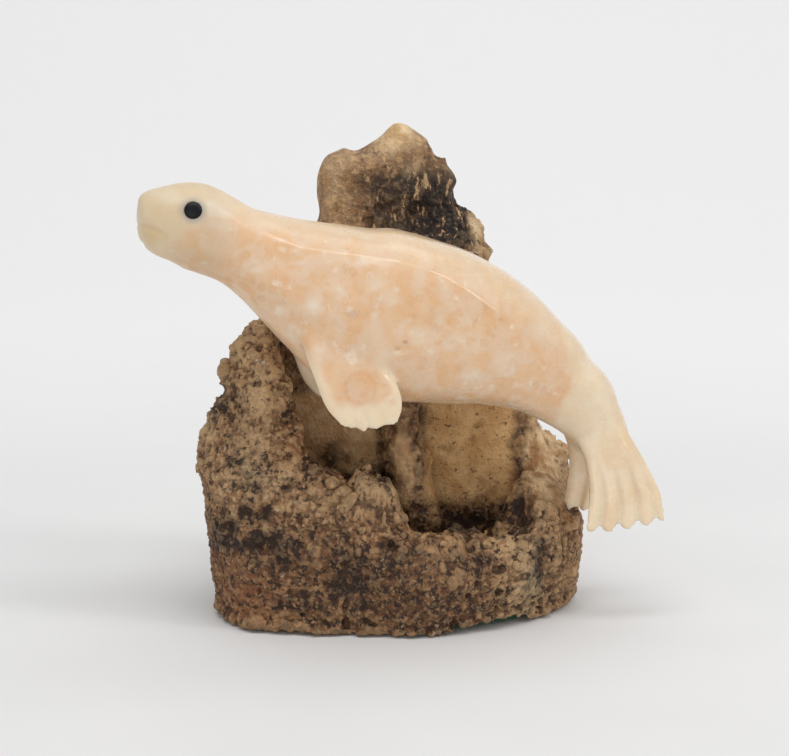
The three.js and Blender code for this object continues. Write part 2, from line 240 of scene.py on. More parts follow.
# Points drawn towards the middle of their neighbours, by a weight for each
def relaxed(points, edges, rounds, weight):
    count = len(points)
    degree = np.bincount(edges.ravel(), minlength=count).astype(float)[:, None]
    for _ in range(rounds):
        total = np.zeros_like(points)
        for axis in range(3):
            total[:, axis] = (
                np.bincount(edges[:, 0], weights=points[edges[:, 1], axis], minlength=count)
                + np.bincount(edges[:, 1], weights=points[edges[:, 0], axis], minlength=count)
            )
        points = points + weight[:, None] * (total / np.maximum(degree, 1) - points) * 0.6
    return points


def applied(made, kind, **values):
    modifier = made.modifiers.new(kind, kind)
    for key, value in values.items():
        setattr(modifier, key, value)
    graph = bpy.context.evaluated_depsgraph_get()
    mesh = bpy.data.meshes.new_from_object(made.evaluated_get(graph))
    made.modifiers.clear()
    old = made.data
    made.data = mesh
    mesh.name = made.name
    bpy.data.meshes.remove(old)


def voxel(made, size):
    applied(made, "REMESH", mode="VOXEL", voxel_size=size * MM, adaptivity=0, use_smooth_shade=True)


def thinned(made, most):
    triangles = sum(len(p.vertices) - 2 for p in made.data.polygons)
    if triangles > most:
        applied(made, "DECIMATE", decimate_type="COLLAPSE", ratio=most / triangles)


# The same for one part of a mesh of quads, whose vertices are marked, down to a number of triangles
def thinned_at(made, marked, most):
    corners = np.empty(len(made.data.loops), np.int32)
    made.data.loops.foreach_get("vertex_index", corners)
    quads = corners.reshape(-1, 4)
    inside = 2 * int(marked[quads].all(axis=1).sum())
    if inside > most:
        group = made.vertex_groups.new(name="thinned")
        group.add([int(i) for i in np.flatnonzero(marked)], 1.0, "REPLACE")
        ratio = 1 - (inside - most) / (2 * len(quads))
        applied(made, "DECIMATE", decimate_type="COLLAPSE", ratio=ratio, vertex_group=group.name)
        made.vertex_groups.clear()


# The faces of a closed mesh, all turned outwards
def turn_out(made):
    bm = bmesh.new()
    bm.from_mesh(made.data)
    bmesh.ops.recalc_face_normals(bm, faces=bm.faces)
    bm.to_mesh(made.data)
    bm.free()


def shade_smooth(made):
    made.data.polygons.foreach_set("use_smooth", [True] * len(made.data.polygons))


# A share from 0 to 1 at each vertex, for the materials
def attribute(made, name, values):
    layer = made.data.attributes.new(name, "FLOAT", "POINT")
    layer.data.foreach_set("value", np.clip(values, 0, 1).astype(np.float32))


def removed(made):
    mesh = made.data
    bpy.data.objects.remove(made)
    bpy.data.meshes.remove(mesh)


def joined(name, parts):
    vertices, faces = [], []
    offset = 0
    for points, part_faces in parts:
        vertices.append(points)
        faces.extend([tuple(i + offset for i in f) for f in part_faces])
        offset += len(points)
    return new_object(name, np.vstack(vertices), faces)


# The faces of a tube of rings, closed at both ends
def tube_faces(rows, sides):
    faces = []
    for r in range(rows - 1):
        for s in range(sides):
            a, b = r * sides + s, r * sides + (s + 1) % sides
            faces.append((a, b, b + sides, a + sides))
    faces.append(tuple(range(sides))[::-1])
    faces.append(tuple(range((rows - 1) * sides, rows * sides)))
    return faces


def solid_named(name):
    for found in bpy.data.objects:
        if found.name == name or found.name.split(".")[0] == name:
            return found
    raise RuntimeError("no solid " + name)


# Where points lie in the camera's picture, in pixels
def pixel(points):
    d = points - CAMERA_AT
    forward = np.array([0, math.cos(CAMERA_TILT), -math.sin(CAMERA_TILT)])
    up = np.array([0, math.sin(CAMERA_TILT), math.cos(CAMERA_TILT)])
    depth = d @ forward
    return IMAGE[0] / 2 + FOCAL_PX * d[:, 0] / depth, IMAGE[1] / 2 - FOCAL_PX * (d @ up) / depth


# A rectangle of the picture with soft edges, and a round blot
def patch(px, py, x0, y0, x1, y1, soft):
    return (
        smooth_step(px, x0 - soft, x0 + soft) * smooth_step(-px, -x1 - soft, -x1 + soft)
        * smooth_step(py, y0 - soft, y0 + soft) * smooth_step(-py, -y1 - soft, -y1 + soft)
    )


def blot(px, py, cx, cy, rx, ry):
    return np.exp(-(((px - cx) / rx) ** 2 + ((py - cy) / ry) ** 2))


# The blots of a table at points of the picture: all added up, and the strongest alone
def summed(table, px, py):
    return sum(high * blot(px, py, *place) for *place, high in table)


def strongest(table, px, py):
    found = np.zeros(len(px))
    for *place, strength in table:
        found = np.maximum(found, strength * blot(px, py, *place))
    return found


# The seal in its own frame, in millimetres, before it is turned and hung
def body_point(place, angle):
    place = np.atleast_1d(place)
    centre = curve(BODY_STATIONS[:, :2], place) * PERCENT
    along = tangent(BODY_STATIONS[:, :2], place)
    size = curve(BODY_STATIONS[:, 2:], place) * PERCENT
    power = 2 / BODY_SQUARENESS
    c, s = np.cos(angle), np.sin(angle)
    y = size[:, 1] * np.sign(c) * np.abs(c) ** power
    n = size[:, 0] * np.sign(s) * np.abs(s) ** power
    return np.stack([centre[:, 0] - along[:, 1] * n, y, centre[:, 1] + along[:, 0] * n], axis=1)


def body_mesh(rows, sides):
    place = np.repeat(np.linspace(0, 1, rows), sides)
    angle = np.tile(np.arange(sides) * 2 * math.pi / sides, rows)
    return body_point(place, angle), tube_faces(rows, sides)


def flipper_mesh(form, side, rows, columns, forward):
    v = np.linspace(0, 1, rows)
    a, b = curve(form["front"], v) * PERCENT, curve(form["rear"], v) * PERCENT
    down = tangent(form["front"], v) + tangent(form["rear"], v)
    down /= np.linalg.norm(down, axis=1, keepdims=True)
    lateral = curve(np.column_stack([form["offset"], form["thickness"]]), v) * PERCENT
    toes = np.array(form["toes"], float)
    u = (1 - np.cos(np.linspace(0, math.pi, columns))) / 2
    u = 0.35 * u + 0.65 * np.linspace(0, 1, columns)
    reach = np.interp(u, toes[:, 0], toes[:, 1])
    reach = np.convolve(np.pad(reach, 1, mode="edge"), [0.25, 0.5, 0.25], mode="valid")
    points = []
    for row in range(rows):
        crown = np.sqrt(np.clip(1 - (2 * u - 1) ** 4, 0, 1))
        crown = crown * (1 + form["ridge"] * (reach - 0.5) * v[row])
        flat = a[row] + (b[row] - a[row]) * u[:, None]
        flat = flat + down[row] * (reach * PERCENT * v[row] ** 3)[:, None]
        half = lateral[row, 1] * crown
        near = np.column_stack([flat[:, 0] + forward, side * lateral[row, 0] + half, flat[:, 1]])
        far = np.column_stack([flat[:, 0] + forward, side * lateral[row, 0] - half, flat[:, 1]])
        points.append(np.vstack([near, far[-2:0:-1]]))
    return np.vstack(points), tube_faces(rows, 2 * columns - 2)


# From the seal's own frame to the world: turned by its yaw, then moved so that its box is the solid's
def hung(points, shift):
    c, s = math.cos(SEAL_YAW), math.sin(SEAL_YAW)
    x = points[:, 0] * c - points[:, 1] * s
    y = points[:, 0] * s + points[:, 1] * c
    return np.column_stack([x, y, points[:, 2]]) * MM + shift


def unhung(points, shift):
    c, s = math.cos(SEAL_YAW), math.sin(SEAL_YAW)
    p = (points - shift) / MM
    return np.column_stack([p[:, 0] * c + p[:, 1] * s, -p[:, 0] * s + p[:, 1] * c, p[:, 2]])


def eye_frame(side):
    rows = BODY_STATIONS[:, 0]
    nxt = int(np.argmax(rows >= EYE_STATION))
    place = (nxt - 1 + (EYE_STATION - rows[nxt - 1]) / (rows[nxt] - rows[nxt - 1])) / (len(rows) - 1)
    angle = EYE_ANGLE if side > 0 else math.pi - EYE_ANGLE
    at = body_point(place, angle)[0]
    along = body_point(place + 0.01, angle)[0] - at
    round_ = body_point(place, angle + 0.01)[0] - at
    out = np.cross(along, round_)
    out /= np.linalg.norm(out)
    return at, out * (np.sign(out[1]) * side)


def eye_positions():
    eyes = []
    for node in ("eye_right", "eye_left"):
        low, high = (np.array(c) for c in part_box(node))
        eyes.append((low + high) / 2)
    return eyes


# The shift is settled by the eyes, whose places the solids give exactly
def exact_shift():
    found = []
    for side, centre in zip((-1, 1), eye_positions()):
        at, out = eye_frame(side)
        middle = at + out * (EYE_BULGE - EYE_DEPTH) / 2
        found.append(centre - hung(middle[None, :], np.zeros(3))[0])
    return np.mean(found, axis=0)


SHIFT = exact_shift()


# Whitish patches of the carving in the picture: centre, half sizes and strength
PALE_PATCHES = (
    (313, 306, 8, 7, 0.9), (342, 289, 6, 8, 0.8), (421, 339, 10, 9, 0.8), (281, 312, 8, 6, 0.9),
    (372, 286, 10, 6, 0.6), (363, 261, 14, 5, 0.8), (292, 330, 9, 6, 0.8), (318, 350, 7, 10, 0.5),
    (392, 300, 8, 7, 0.5), (455, 340, 12, 9, 0.5), (470, 375, 14, 6, 0.5), (300, 262, 12, 5, 0.6),
    (253, 268, 8, 6, 0.5), (215, 212, 16, 8, 0.8), (222, 226, 14, 6, 0.5), (505, 360, 12, 8, 0.4),
    (400, 330, 7, 8, 0.5), (338, 330, 6, 8, 0.4), (382, 345, 6, 14, 0.5), (540, 330, 10, 8, 0.4),
)

# Lines on the carving in the picture, each with its height or depth in millimetres and half width in pixels
CREASES = (
    ((
        (256, 227), (276, 238), (302, 248), (336, 253), (368, 256), (392, 260), (420, 267), (446, 278),
        (472, 294), (500, 315), (526, 342),
    ), 0.20, 4.5),
    (((574, 374), (596, 402), (612, 427), (626, 448), (644, 478)), 0.24, 5.0),
)

# Swellings and hollows of the carving's outline, in the picture: centre, half sizes and height
SWELLINGS = (
    (292, 214, 32, 9, 0.75), (166, 266, 30, 15, -0.45), (146, 192, 12, 8, 0.3), (580, 338, 22, 22, 0.6),
    (606, 380, 20, 24, 0.75),
)

# The gloss of the carving from head to tail: picture x and gloss
GLOSS = (
    (215, 0.1), (262, 0.2), (276, 0.8), (292, 0.7), (305, 0.3), (330, 0.4), (345, 0.9), (368, 0.8),
    (382, 0.5), (396, 1.0), (540, 1.0),
)

# The lines of the mouth, given in the same way as the creases
MOUTH = (
    (((136, 224), (148, 227), (158, 231), (166, 236)), 0.13, 2.2),
    (((166, 236), (165, 241), (159, 245)), 0.07, 2.0),
)


# How far points of the picture are from a line of points, in pixels, and how far along it, from 0 to 1
def line_distance(px, py, line):
    line = np.array(line, float)
    lengths = np.linalg.norm(np.diff(line, axis=0), axis=1)
    start = np.concatenate([[0], np.cumsum(lengths)])
    best = np.full(len(px), 1e9)
    share = np.zeros(len(px))
    for k, (a, b) in enumerate(zip(line[:-1], line[1:])):
        d = b - a
        t = ((px - a[0]) * d[0] + (py - a[1]) * d[1]) / (d @ d)
        held = np.clip(t, 0, 1)
        far = np.hypot(px - a[0] - d[0] * held, py - a[1] - d[1] * held)
        nearer = far < best
        best = np.where(nearer, far, best)
        share = np.where(nearer, (start[k] + held * lengths[k]) / start[-1], share)
    return best, share


# How far across a flipper points are, from 0 at its front edge to 1 at its rear edge
def across(form, x, z):
    front = np.array(form["front"], float)
    rear = np.array(form["rear"], float)
    front_x = np.interp(z, front[::-1, 1], front[::-1, 0])
    rear_x = np.interp(z, rear[::-1, 1], rear[::-1, 0])
    return (x - front_x) / np.maximum(rear_x - front_x, 0.1)


# Ridges across a flipper, one at each of some places
def ridges(u, places, width):
    return sum(np.exp(-((u - place) / width) ** 2) for place in places)


# Body and flippers in one skin, polished lightly all over and strongly where the flippers grow out
def seal_skin():
    rows, sides = ((170, 112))
    parts = [body_mesh(rows, sides)]
    for form in (FRONT_FLIPPER, HIND_FLIPPER):
        for side in (-1, 1):
            ahead = 0.0 if side < 0 else -0.3 if form is FRONT_FLIPPER else -0.6
            parts.append(flipper_mesh(form, side, 56, 72, ahead))
    seal = joined("carved_seal", [(hung(points, SHIFT), faces) for points, faces in parts])
    turn_out(seal)
    voxel(seal, SEAL_GRID)
    points = points_of(seal)
    edges = edges_of(seal)
    x, y, z = unhung(points, SHIFT).T / PERCENT
    front_tips = smooth_step(-z, 9.0, 14.0) * smooth_step(-x, -2.0, 2.0)
    polish = 0.35 * (1 - 0.8 * np.clip(front_tips + smooth_step(-z, 30.0, 36.0), 0, 1))
    shoulder = ((x + 15.5) / 9.0) ** 2 + ((z - 0.5) / 5.5) ** 2 + ((np.abs(y) - 10.0) / 4.5) ** 2
    heel = ((x - 36.0) / 5.0) ** 2 + ((z + 21.0) / 6.0) ** 2
    strong = np.clip(1.2 * np.exp(-shoulder) + 1.1 * np.exp(-heel), 0, 1)
    points = relaxed(points, edges, 9, np.clip(polish + strong, 0, 1))
    set_points(seal, relaxed(points, edges, 60, strong))
    return seal


def make_seal():
    seal = seal_skin()
    normals = normals_of(seal)
    points = points_of(seal)
    local = unhung(points, SHIFT)
    x, y, z = local.T / PERCENT
    px, py = pixel(points)
    front_tips = smooth_step(-z, 6.0, 12.0) * smooth_step(-x, -2.0, 2.0)
    tips = np.clip(front_tips + smooth_step(x, 33.0, 37.0), 0, 1)
    moved = (0.055 * noise(local, 5.5, 11) + 0.03 * noise(local, 2.4, 12)) * (1 - 0.6 * tips)
    moved += summed(SWELLINGS, px, py)

    # Creases left by the tool along the upper flank and the tail, which catch the light
    right = smooth_step(-y, -1.0, 2.0)
    broken = 0.8 + 0.4 * noise(local, 4.2, 13)
    broken *= np.interp(px, [256, 300, 390, 430], [0.35, 0.6, 0.9, 1.5])
    for line, high, wide in CREASES:
        away, along = line_distance(px, py, line)
        ends = smooth_step(along, 0.0, 0.12) * smooth_step(-along, -1.0, -0.88)
        moved += high * np.exp(-np.hypot(away, 0.8) / wide) * ends * right * broken

    # The mouth: a faint groove from the nose back to the cheek, on both sides
    for line, deep, wide in MOUTH:
        away, along = line_distance(px, py, line)
        moved -= deep * np.exp(-(away / wide) ** 2) * smooth_step(-along, -1.0, -0.6)

    # Grooves between the toes of the hind flippers and crests on the toes, from heel to tip
    u = across(HIND_FLIPPER, x, z)
    v = np.clip((-z - 16.0) / 26.0, 0, 1)
    inside = smooth_step(u, -0.05, 0.06) * smooth_step(-u, -1.08, -0.96) * smooth_step(x, 28.0, 31.0)
    moved -= 0.34 * ridges(u, (0.18, 0.41, 0.65, 0.88), 0.034) * smooth_step(v, 0.42, 0.72) * inside
    moved += 0.12 * ridges(u, (0.30, 0.53, 0.76), 0.07) * smooth_step(v, 0.5, 0.8) * inside

    # Short grooves at the tips of the front flippers
    u = across(FRONT_FLIPPER, x, z)
    inside = smooth_step(-z, 13.0, 16.5) * smooth_step(-x, -3.0, 2.0)
    moved -= 0.14 * ridges(u, (0.27, 0.47, 0.73), 0.045) * inside
    set_points(seal, points + normals * (moved * MM)[:, None])

    # Sockets for the eyes
    for side in (-1, 1):
        drill = turned_solid("drill", side, [(SOCKET_RADIUS, -EYE_DEPTH - 0.1), (SOCKET_RADIUS, 1.2)])
        applied(seal, "BOOLEAN", operation="DIFFERENCE", solver="EXACT", object=drill)
        removed(drill)
    thinned(seal, SEAL_TRIANGLES)
    shade_smooth(seal)
    return seal


# Where the bubbly core of the tusk shows, with its clouds, rings, pits and stains
def colour_seal(seal):
    points = points_of(seal)
    local = unhung(points, SHIFT)
    x, y, z = local.T / PERCENT
    px, py = pixel(points)
    wobble = noise(local, 3.0, 21) + 0.6 * noise(local, 1.2, 22)
    rear_edge = np.interp(py, [300, 345, 385, 425, 450], [560, 568, 572, 555, 545])
    front_edge = np.interp(py, [185, 205, 225, 250, 285], [240, 232, 196, 170, 150])
    core = smooth_step(-(px - rear_edge) + 4 * wobble, -5.0, 6.0)
    core *= smooth_step(px - front_edge + 14 * wobble, -26.0, 34.0)
    height = (z - spine_line(x)) / half_line(x)
    belly = smooth_step(-height, 0.84, 0.97) * smooth_step(x, 1.0, 6.0)

    # The front flippers are cream, with core in the middle of the blade
    u = across(FRONT_FLIPPER, x, z)
    on_blade = smooth_step(u, -0.12, -0.02) * smooth_step(-u, -1.08, -0.98) * smooth_step(-y, 6.0, 8.0)
    near_blade = on_blade * smooth_step(py, 346, 384)
    far_blade = smooth_step(y, 6.0, 8.0) * smooth_step(-height, 0.9, 1.1) * smooth_step(-x, 0.0, 2.0)
    blade = smooth_step(u + 0.04 * wobble, 0.06, 0.2) * smooth_step(-u + 0.03 * wobble, -0.97, -0.84)
    blade *= smooth_step(-py + 5 * wobble, -412, -396)
    core *= 1 - np.maximum(near_blade, far_blade) * (1 - blade)
    core *= (1 - 0.8 * belly) * (1 - 0.6 * smooth_step(height, 0.62, 0.95))
    attribute(seal, "core", core)
    attribute(seal, "blade", near_blade * (1 - blade))

    rear = np.exp(-((px - rear_edge + 8) / 7.0) ** 2) * core
    attribute(seal, "stain", np.maximum(0.5 * rear, blot(px, py, 287, 280, 8, 5)))
    shift = 5 * noise(local, 1.4, 23)
    attribute(seal, "cloudy", strongest(PALE_PATCHES, px + shift, py + shift))

    # A large ring with a smaller one in it, a small ring and an oval
    right = smooth_step(-y, -1.0, 2.0)
    far = np.hypot(px - 360, py - 388)
    rings = np.exp(-((far - 15) / 2.2) ** 2) + 0.6 * np.exp(-((far - 8) / 2.0) ** 2)
    rings += 0.5 * np.exp(-((np.hypot(px - 330, py - 357) - 6) / 1.6) ** 2)
    rings += 0.7 * np.exp(-((np.hypot((px - 345) / 0.55, py - 302) - 4.5) / 1.4) ** 2)
    attribute(seal, "rings", rings * right)
    pit = np.maximum(blot(px, py, 405, 342, 2.4, 1.9), 0.8 * blot(px, py, 398, 348, 1.5, 1.3))
    pit = np.maximum(pit, 0.45 * blot(px, py, 353, 314, 5, 4))
    attribute(seal, "pit", pit * right)

    # The head: dark halos round the eyes, a yellow chin and brow, and painted shade along the groove of the
    # mouth
    halo = np.minimum(*(np.linalg.norm(local - eye_frame(side)[0], axis=1) for side in (-1, 1)))
    attribute(seal, "halo", smooth_step(-halo, -2.3, -1.0))
    chin = np.maximum(0.9 * blot(px, py, 152, 236, 10, 9), 0.4 * blot(px, py, 152, 208, 12, 12))
    attribute(seal, "chin", np.maximum(chin, 0.5 * blot(px, py, 185, 186, 24, 6)))
    attribute(seal, "mouth", np.exp(-(line_distance(px, py, MOUTH[0][0])[0] / 1.8) ** 2))
    attribute(seal, "head", smooth_step(-px, -248, -206))
    attribute(seal, "gloss", np.interp(px, *zip(*GLOSS)))


def spine_line(x):
    return np.interp(x, BODY_STATIONS[:, 0], BODY_STATIONS[:, 1])


def half_line(x):
    return np.maximum(np.interp(x, BODY_STATIONS[:, 0], BODY_STATIONS[:, 2]), 1.0)


# A round solid that stands on the head at an eye: the radius and height of each of its rings
def turned_solid(name, side, profile):
    sides = 48
    at, out = eye_frame(side)
    level = np.cross(out, [0.0, 0.0, 1.0])
    level /= np.linalg.norm(level)
    up = np.cross(level, out)
    angles = np.arange(sides) * 2 * math.pi / sides
    ring = np.cos(angles)[:, None] * level + np.sin(angles)[:, None] * up
    points = np.vstack([at + out * height + radius * ring for radius, height in profile])
    made = new_object(name, hung(points, SHIFT), tube_faces(len(profile), sides))
    turn_out(made)
    return made


def make_eye(name, side):
    radius = EYE_DIAMETER / 2
    profile = [(0.6 * radius, -EYE_DEPTH), (radius, -EYE_DEPTH), (radius, -0.1)]
    for k in range(9):
        turn = k / 8 * math.pi / 2
        profile.append((radius * math.cos(turn * 0.96), EYE_BULGE * math.sin(turn)))
    eye = turned_solid(name, side, profile)
    shade_smooth(eye)
    return eye


# Large lumps and notches of the base, in the picture: centre, half sizes and height
BUMPS = (
    (227, 371, 9, 9, 0.7), (219, 390, 9, 10, -1.1), (205, 440, 10, 14, 0.6), (243, 340, 9, 9, 0.2),
    (230, 350, 9, 8, 0.7), (219, 362, 7, 6, 0.8), (208, 414, 7, 5, 0.6), (202, 458, 9, 34, 0.45),
    (578, 560, 8, 26, 0.9), (210, 550, 8, 40, -0.35), (322, 192, 13, 24, 1.0),
    (262, 330, 7, 7, 0.5), (270, 360, 12, 14, 0.5), (258, 400, 14, 12, 0.5), (222, 430, 10, 9, 0.5),
    (300, 500, 14, 10, 0.6), (285, 470, 10, 10, 0.6), (352, 500, 16, 12, 0.7), (372, 480, 10, 8, 0.6),
    (400, 500, 12, 10, 0.5), (430, 522, 12, 8, 0.6), (455, 535, 12, 8, 0.5), (500, 520, 10, 12, 0.6),
    (545, 505, 10, 9, 0.6), (572, 520, 8, 10, 0.7), (556, 470, 8, 10, 0.6), (541, 440, 7, 9, 0.6),
    (572, 580, 8, 16, 0.7), (250, 570, 20, 16, 0.4), (320, 560, 18, 14, 0.4), (410, 560, 20, 14, 0.5),
    (470, 580, 18, 14, 0.4), (520, 580, 14, 18, 0.4), (240, 450, 12, 10, 0.4), (232, 600, 14, 14, 0.4),
    (372, 158, 12, 10, 0.7), (350, 150, 8, 7, 0.5), (330, 165, 10, 10, 0.5), (485, 252, 8, 6, 0.8),
    (452, 184, 8, 12, 1.5), (387, 129, 7, 8, 0.5), (356, 151, 6, 6, -1.0),
    (333, 152, 9, 7, 0.4), (438, 152, 12, 12, -0.9), (395, 125, 8, 7, 0.5),
    (508, 526, 8, 8, 0.9), (536, 506, 9, 7, 0.6), (352, 468, 12, 9, 0.6), (398, 518, 8, 7, 0.4),
)

# Dirt, and painted shade in the holes, on the front, in the picture: centre, half sizes and strength
DIRT_AND_SHADE_PATCHES = (
    (329, 458, 20, 13, 1.0), (244, 512, 10, 9, 1.0), (263, 513, 9, 8, 1.0), (228, 526, 9, 8, 0.9),
    (262, 542, 50, 9, 0.95), (285, 560, 24, 12, 0.6), (350, 582, 30, 34, 0.62), (308, 470, 14, 14, 0.7),
    (540, 560, 7, 30, 0.85), (470, 522, 24, 9, 1.0), (521, 515, 10, 18, 1.0), (421, 455, 5, 60, 0.5),
    (386, 478, 22, 9, 0.8), (440, 605, 44, 14, 0.35), (230, 462, 9, 12, 0.6), (310, 600, 26, 10, 0.5),
    (400, 560, 22, 26, 0.4), (217, 409, 12, 7, 0.95), (290, 405, 10, 22, 0.55), (475, 560, 30, 20, 0.35),
    (250, 495, 10, 8, 0.6), (284, 488, 9, 7, 0.7), (498, 600, 26, 14, 0.3), (505, 510, 8, 11, 0.9),
    (519, 446, 4, 34, 0.8), (243, 486, 9, 6, 0.7), (232, 436, 8, 8, 0.6), (262, 462, 8, 9, 0.55),
)

# Paler, sandy areas of the front, in the picture: centre, half sizes and strength
SANDY_PATCHES = (
    (258, 392, 22, 34, 0.9), (254, 440, 22, 22, 0.75), (204, 432, 7, 18, 0.7), (243, 352, 16, 14, 0.8),
    (372, 488, 28, 24, 0.85), (325, 505, 26, 16, 0.5), (452, 538, 26, 12, 0.7), (508, 545, 16, 18, 0.9),
    (518, 600, 16, 16, 0.8), (556, 540, 12, 40, 0.45), (262, 480, 30, 14, 0.5), (548, 520, 16, 12, 0.6),
    (240, 610, 30, 12, 0.45), (430, 570, 20, 14, 0.35), (222, 480, 10, 16, 0.4), (330, 622, 60, 7, 0.4),
)

# Holes and eaten patches of the front, in the picture: centre, half sizes and depth
DEEP_PATCHES = (
    (329, 458, 15, 9, 1.6), (244, 512, 7, 6, 1.5), (263, 513, 6, 5, 1.4), (228, 526, 6, 5, 1.3),
    (217, 409, 8, 5, 1.0), (470, 522, 14, 7, 1.2), (521, 517, 6, 14, 1.3), (384, 478, 12, 5, 1.0),
    (346, 458, 7, 7, 1.2), (300, 545, 4, 4, 1.0), (286, 487, 6, 4, 1.0), (340, 500, 4, 5, 0.9),
    (365, 515, 4, 5, 0.9), (395, 575, 4, 6, 0.9), (420, 595, 4, 6, 0.8), (544, 560, 4, 16, 0.8),
)


# How smooth the base is at a point: the worn plates inside the hollow and on the peak
def smoothness(points, normals):
    px, py = pixel(points)
    front = smooth_step(-normals[:, 1], -0.15, 0.25)
    inside = smooth_step(points[:, 1] / MM, -6.0, -2.0)
    plate = patch(px, py, 424, 396, 514, 496, 9) * inside
    plate = np.maximum(plate, 0.5 * patch(px, py, 285, 380, 372, 452, 10) * inside)
    plate = np.maximum(plate, 0.55 * patch(px, py, 527, 432, 556, 500, 7))
    plate = np.maximum(plate, 0.5 * patch(px, py, 392, 410, 416, 506, 6) * inside) * front
    lobe = np.maximum(blot(px, py, 330, 186, 28, 36), blot(px, py, 398, 134, 22, 22))
    lobe = np.maximum(lobe, blot(px, py, 368, 152, 18, 14))
    lobe = np.maximum(lobe, 0.6 * blot(px, py, 440, 168, 12, 22))
    return np.clip(np.maximum(plate, np.clip(1.6 * lobe, 0, 1) * (points[:, 2] / MM > 45)), 0, 1)


def icosphere(divisions):
    bm = bmesh.new()
    bmesh.ops.create_icosphere(bm, subdivisions=divisions, radius=1.0)
    points = np.array([v.co[:] for v in bm.verts])
    faces = [tuple(v.index for v in f.verts) for f in bm.faces]
    bm.free()
    return points, faces


def felt_outline():
    points = points_of(solid_named("felt_pad"))
    top = points[points[:, 2] > points[:, 2].max() - 0.1 * MM]
    middle = top.mean(axis=0)
    order = np.argsort(np.arctan2(top[:, 1] - middle[1], top[:, 0] - middle[0]))
    outline = top[order][:, :2]
    keep = [0]
    for i in range(1, len(outline)):
        if np.linalg.norm(outline[i] - outline[keep[-1]]) > 0.05 * MM:
            keep.append(i)
    return outline[keep]


def round_outline(outline, sides):
    closed = np.vstack([outline, outline[:1]])
    length = np.concatenate([[0], np.cumsum(np.linalg.norm(np.diff(closed, axis=0), axis=1))])
    at = np.linspace(0, length[-1], sides, endpoint=False)
    return np.column_stack([np.interp(at, length, closed[:, 0]), np.interp(at, length, closed[:, 1])])


# Where the crust's lower edge is raised, so that the felt shows
def raised_edge(x, y):
    return (8.5 * MM < x) & (x < 19.5 * MM) & (y < -5 * MM)


# The solid's block with irregular knobs of crust on its broken surfaces, larger along the rims
def knobby_block(seal_tree):
    source = solid_named("base")
    base = new_object("rough_base", points_of(source), [tuple(p.vertices) for p in source.data.polygons])
    voxel(base, BLOCK_GRID)
    points = points_of(base)
    calm = 1 - smooth_step(points[:, 2] / MM, 57.0, 62.0)
    points = relaxed(points, edges_of(base), 10, calm)
    set_points(base, points)
    normals = normals_of(base)
    smooth = smoothness(points, normals)
    rim = smooth_step(normals[:, 2], -0.2, 0.7)
    chance = (1 - smooth) * (0.3 + 1.2 * rim)
    chance[points[:, 2] < 1.6 * MM] = 0
    chance[points[:, 2] > 44 * MM] *= 0.3
    chance /= chance.sum()
    picks = RNG.choice(len(points), size=KNOBS, p=chance)
    ball, ball_faces = icosphere(2)
    parts = [(points, [tuple(p.vertices) for p in base.data.polygons])]

    def knob(centre, radius, stretch, salt):
        turn = np.array(Matrix.Rotation(RNG.uniform(0, 6.28), 3, Vector(RNG.normal(size=3))))
        rough = 1 + 0.3 * noise(ball * 3.0 + salt, 1.6, 31)
        return (ball * stretch * rough[:, None]) @ turn.T * radius + centre

    for pick in picks:
        at, n = points[pick], normals[pick]
        radius = (0.26 + 0.34 * RNG.random() ** 2 + 0.4 * rim[pick] * RNG.random()) * MM
        centre = at + n * radius * (RNG.uniform(-0.95, -0.4) + 0.6 * rim[pick] * RNG.random())
        stretch = RNG.uniform(0.7, 1.4, 3)
        hit = seal_tree.find_nearest(Vector(centre))
        if hit[3] < radius * 1.6 + 0.25 * MM:
            continue
        parts.append((knob(centre, radius, stretch, pick), ball_faces))

    # A ragged skirt round the foot, which hides the felt except where the edge is raised
    outline = round_outline(felt_outline(), 340)
    outward = outline - outline.mean(axis=0)
    outward /= np.linalg.norm(outward, axis=1, keepdims=True)
    for at, out in zip(outline, outward):
        for layer in range(3):
            x, y = at + out * RNG.uniform(1.0, 2.9) * MM
            radius = RNG.uniform(0.5, 0.85) * MM
            floor = (0.85 if raised_edge(x, y) else 0.08) * MM
            z = floor + radius * RNG.uniform(1.0, 2.2)
            lump = knob(np.array([x, y, z]), radius, RNG.uniform(0.8, 1.2, 3), layer)
            lump[:, 2] = np.maximum(lump[:, 2], floor * 0.9)
            parts.append((lump, ball_faces))
    removed(base)
    base = joined("rough_base", parts)
    voxel(base, CRUST_GRID)
    return base


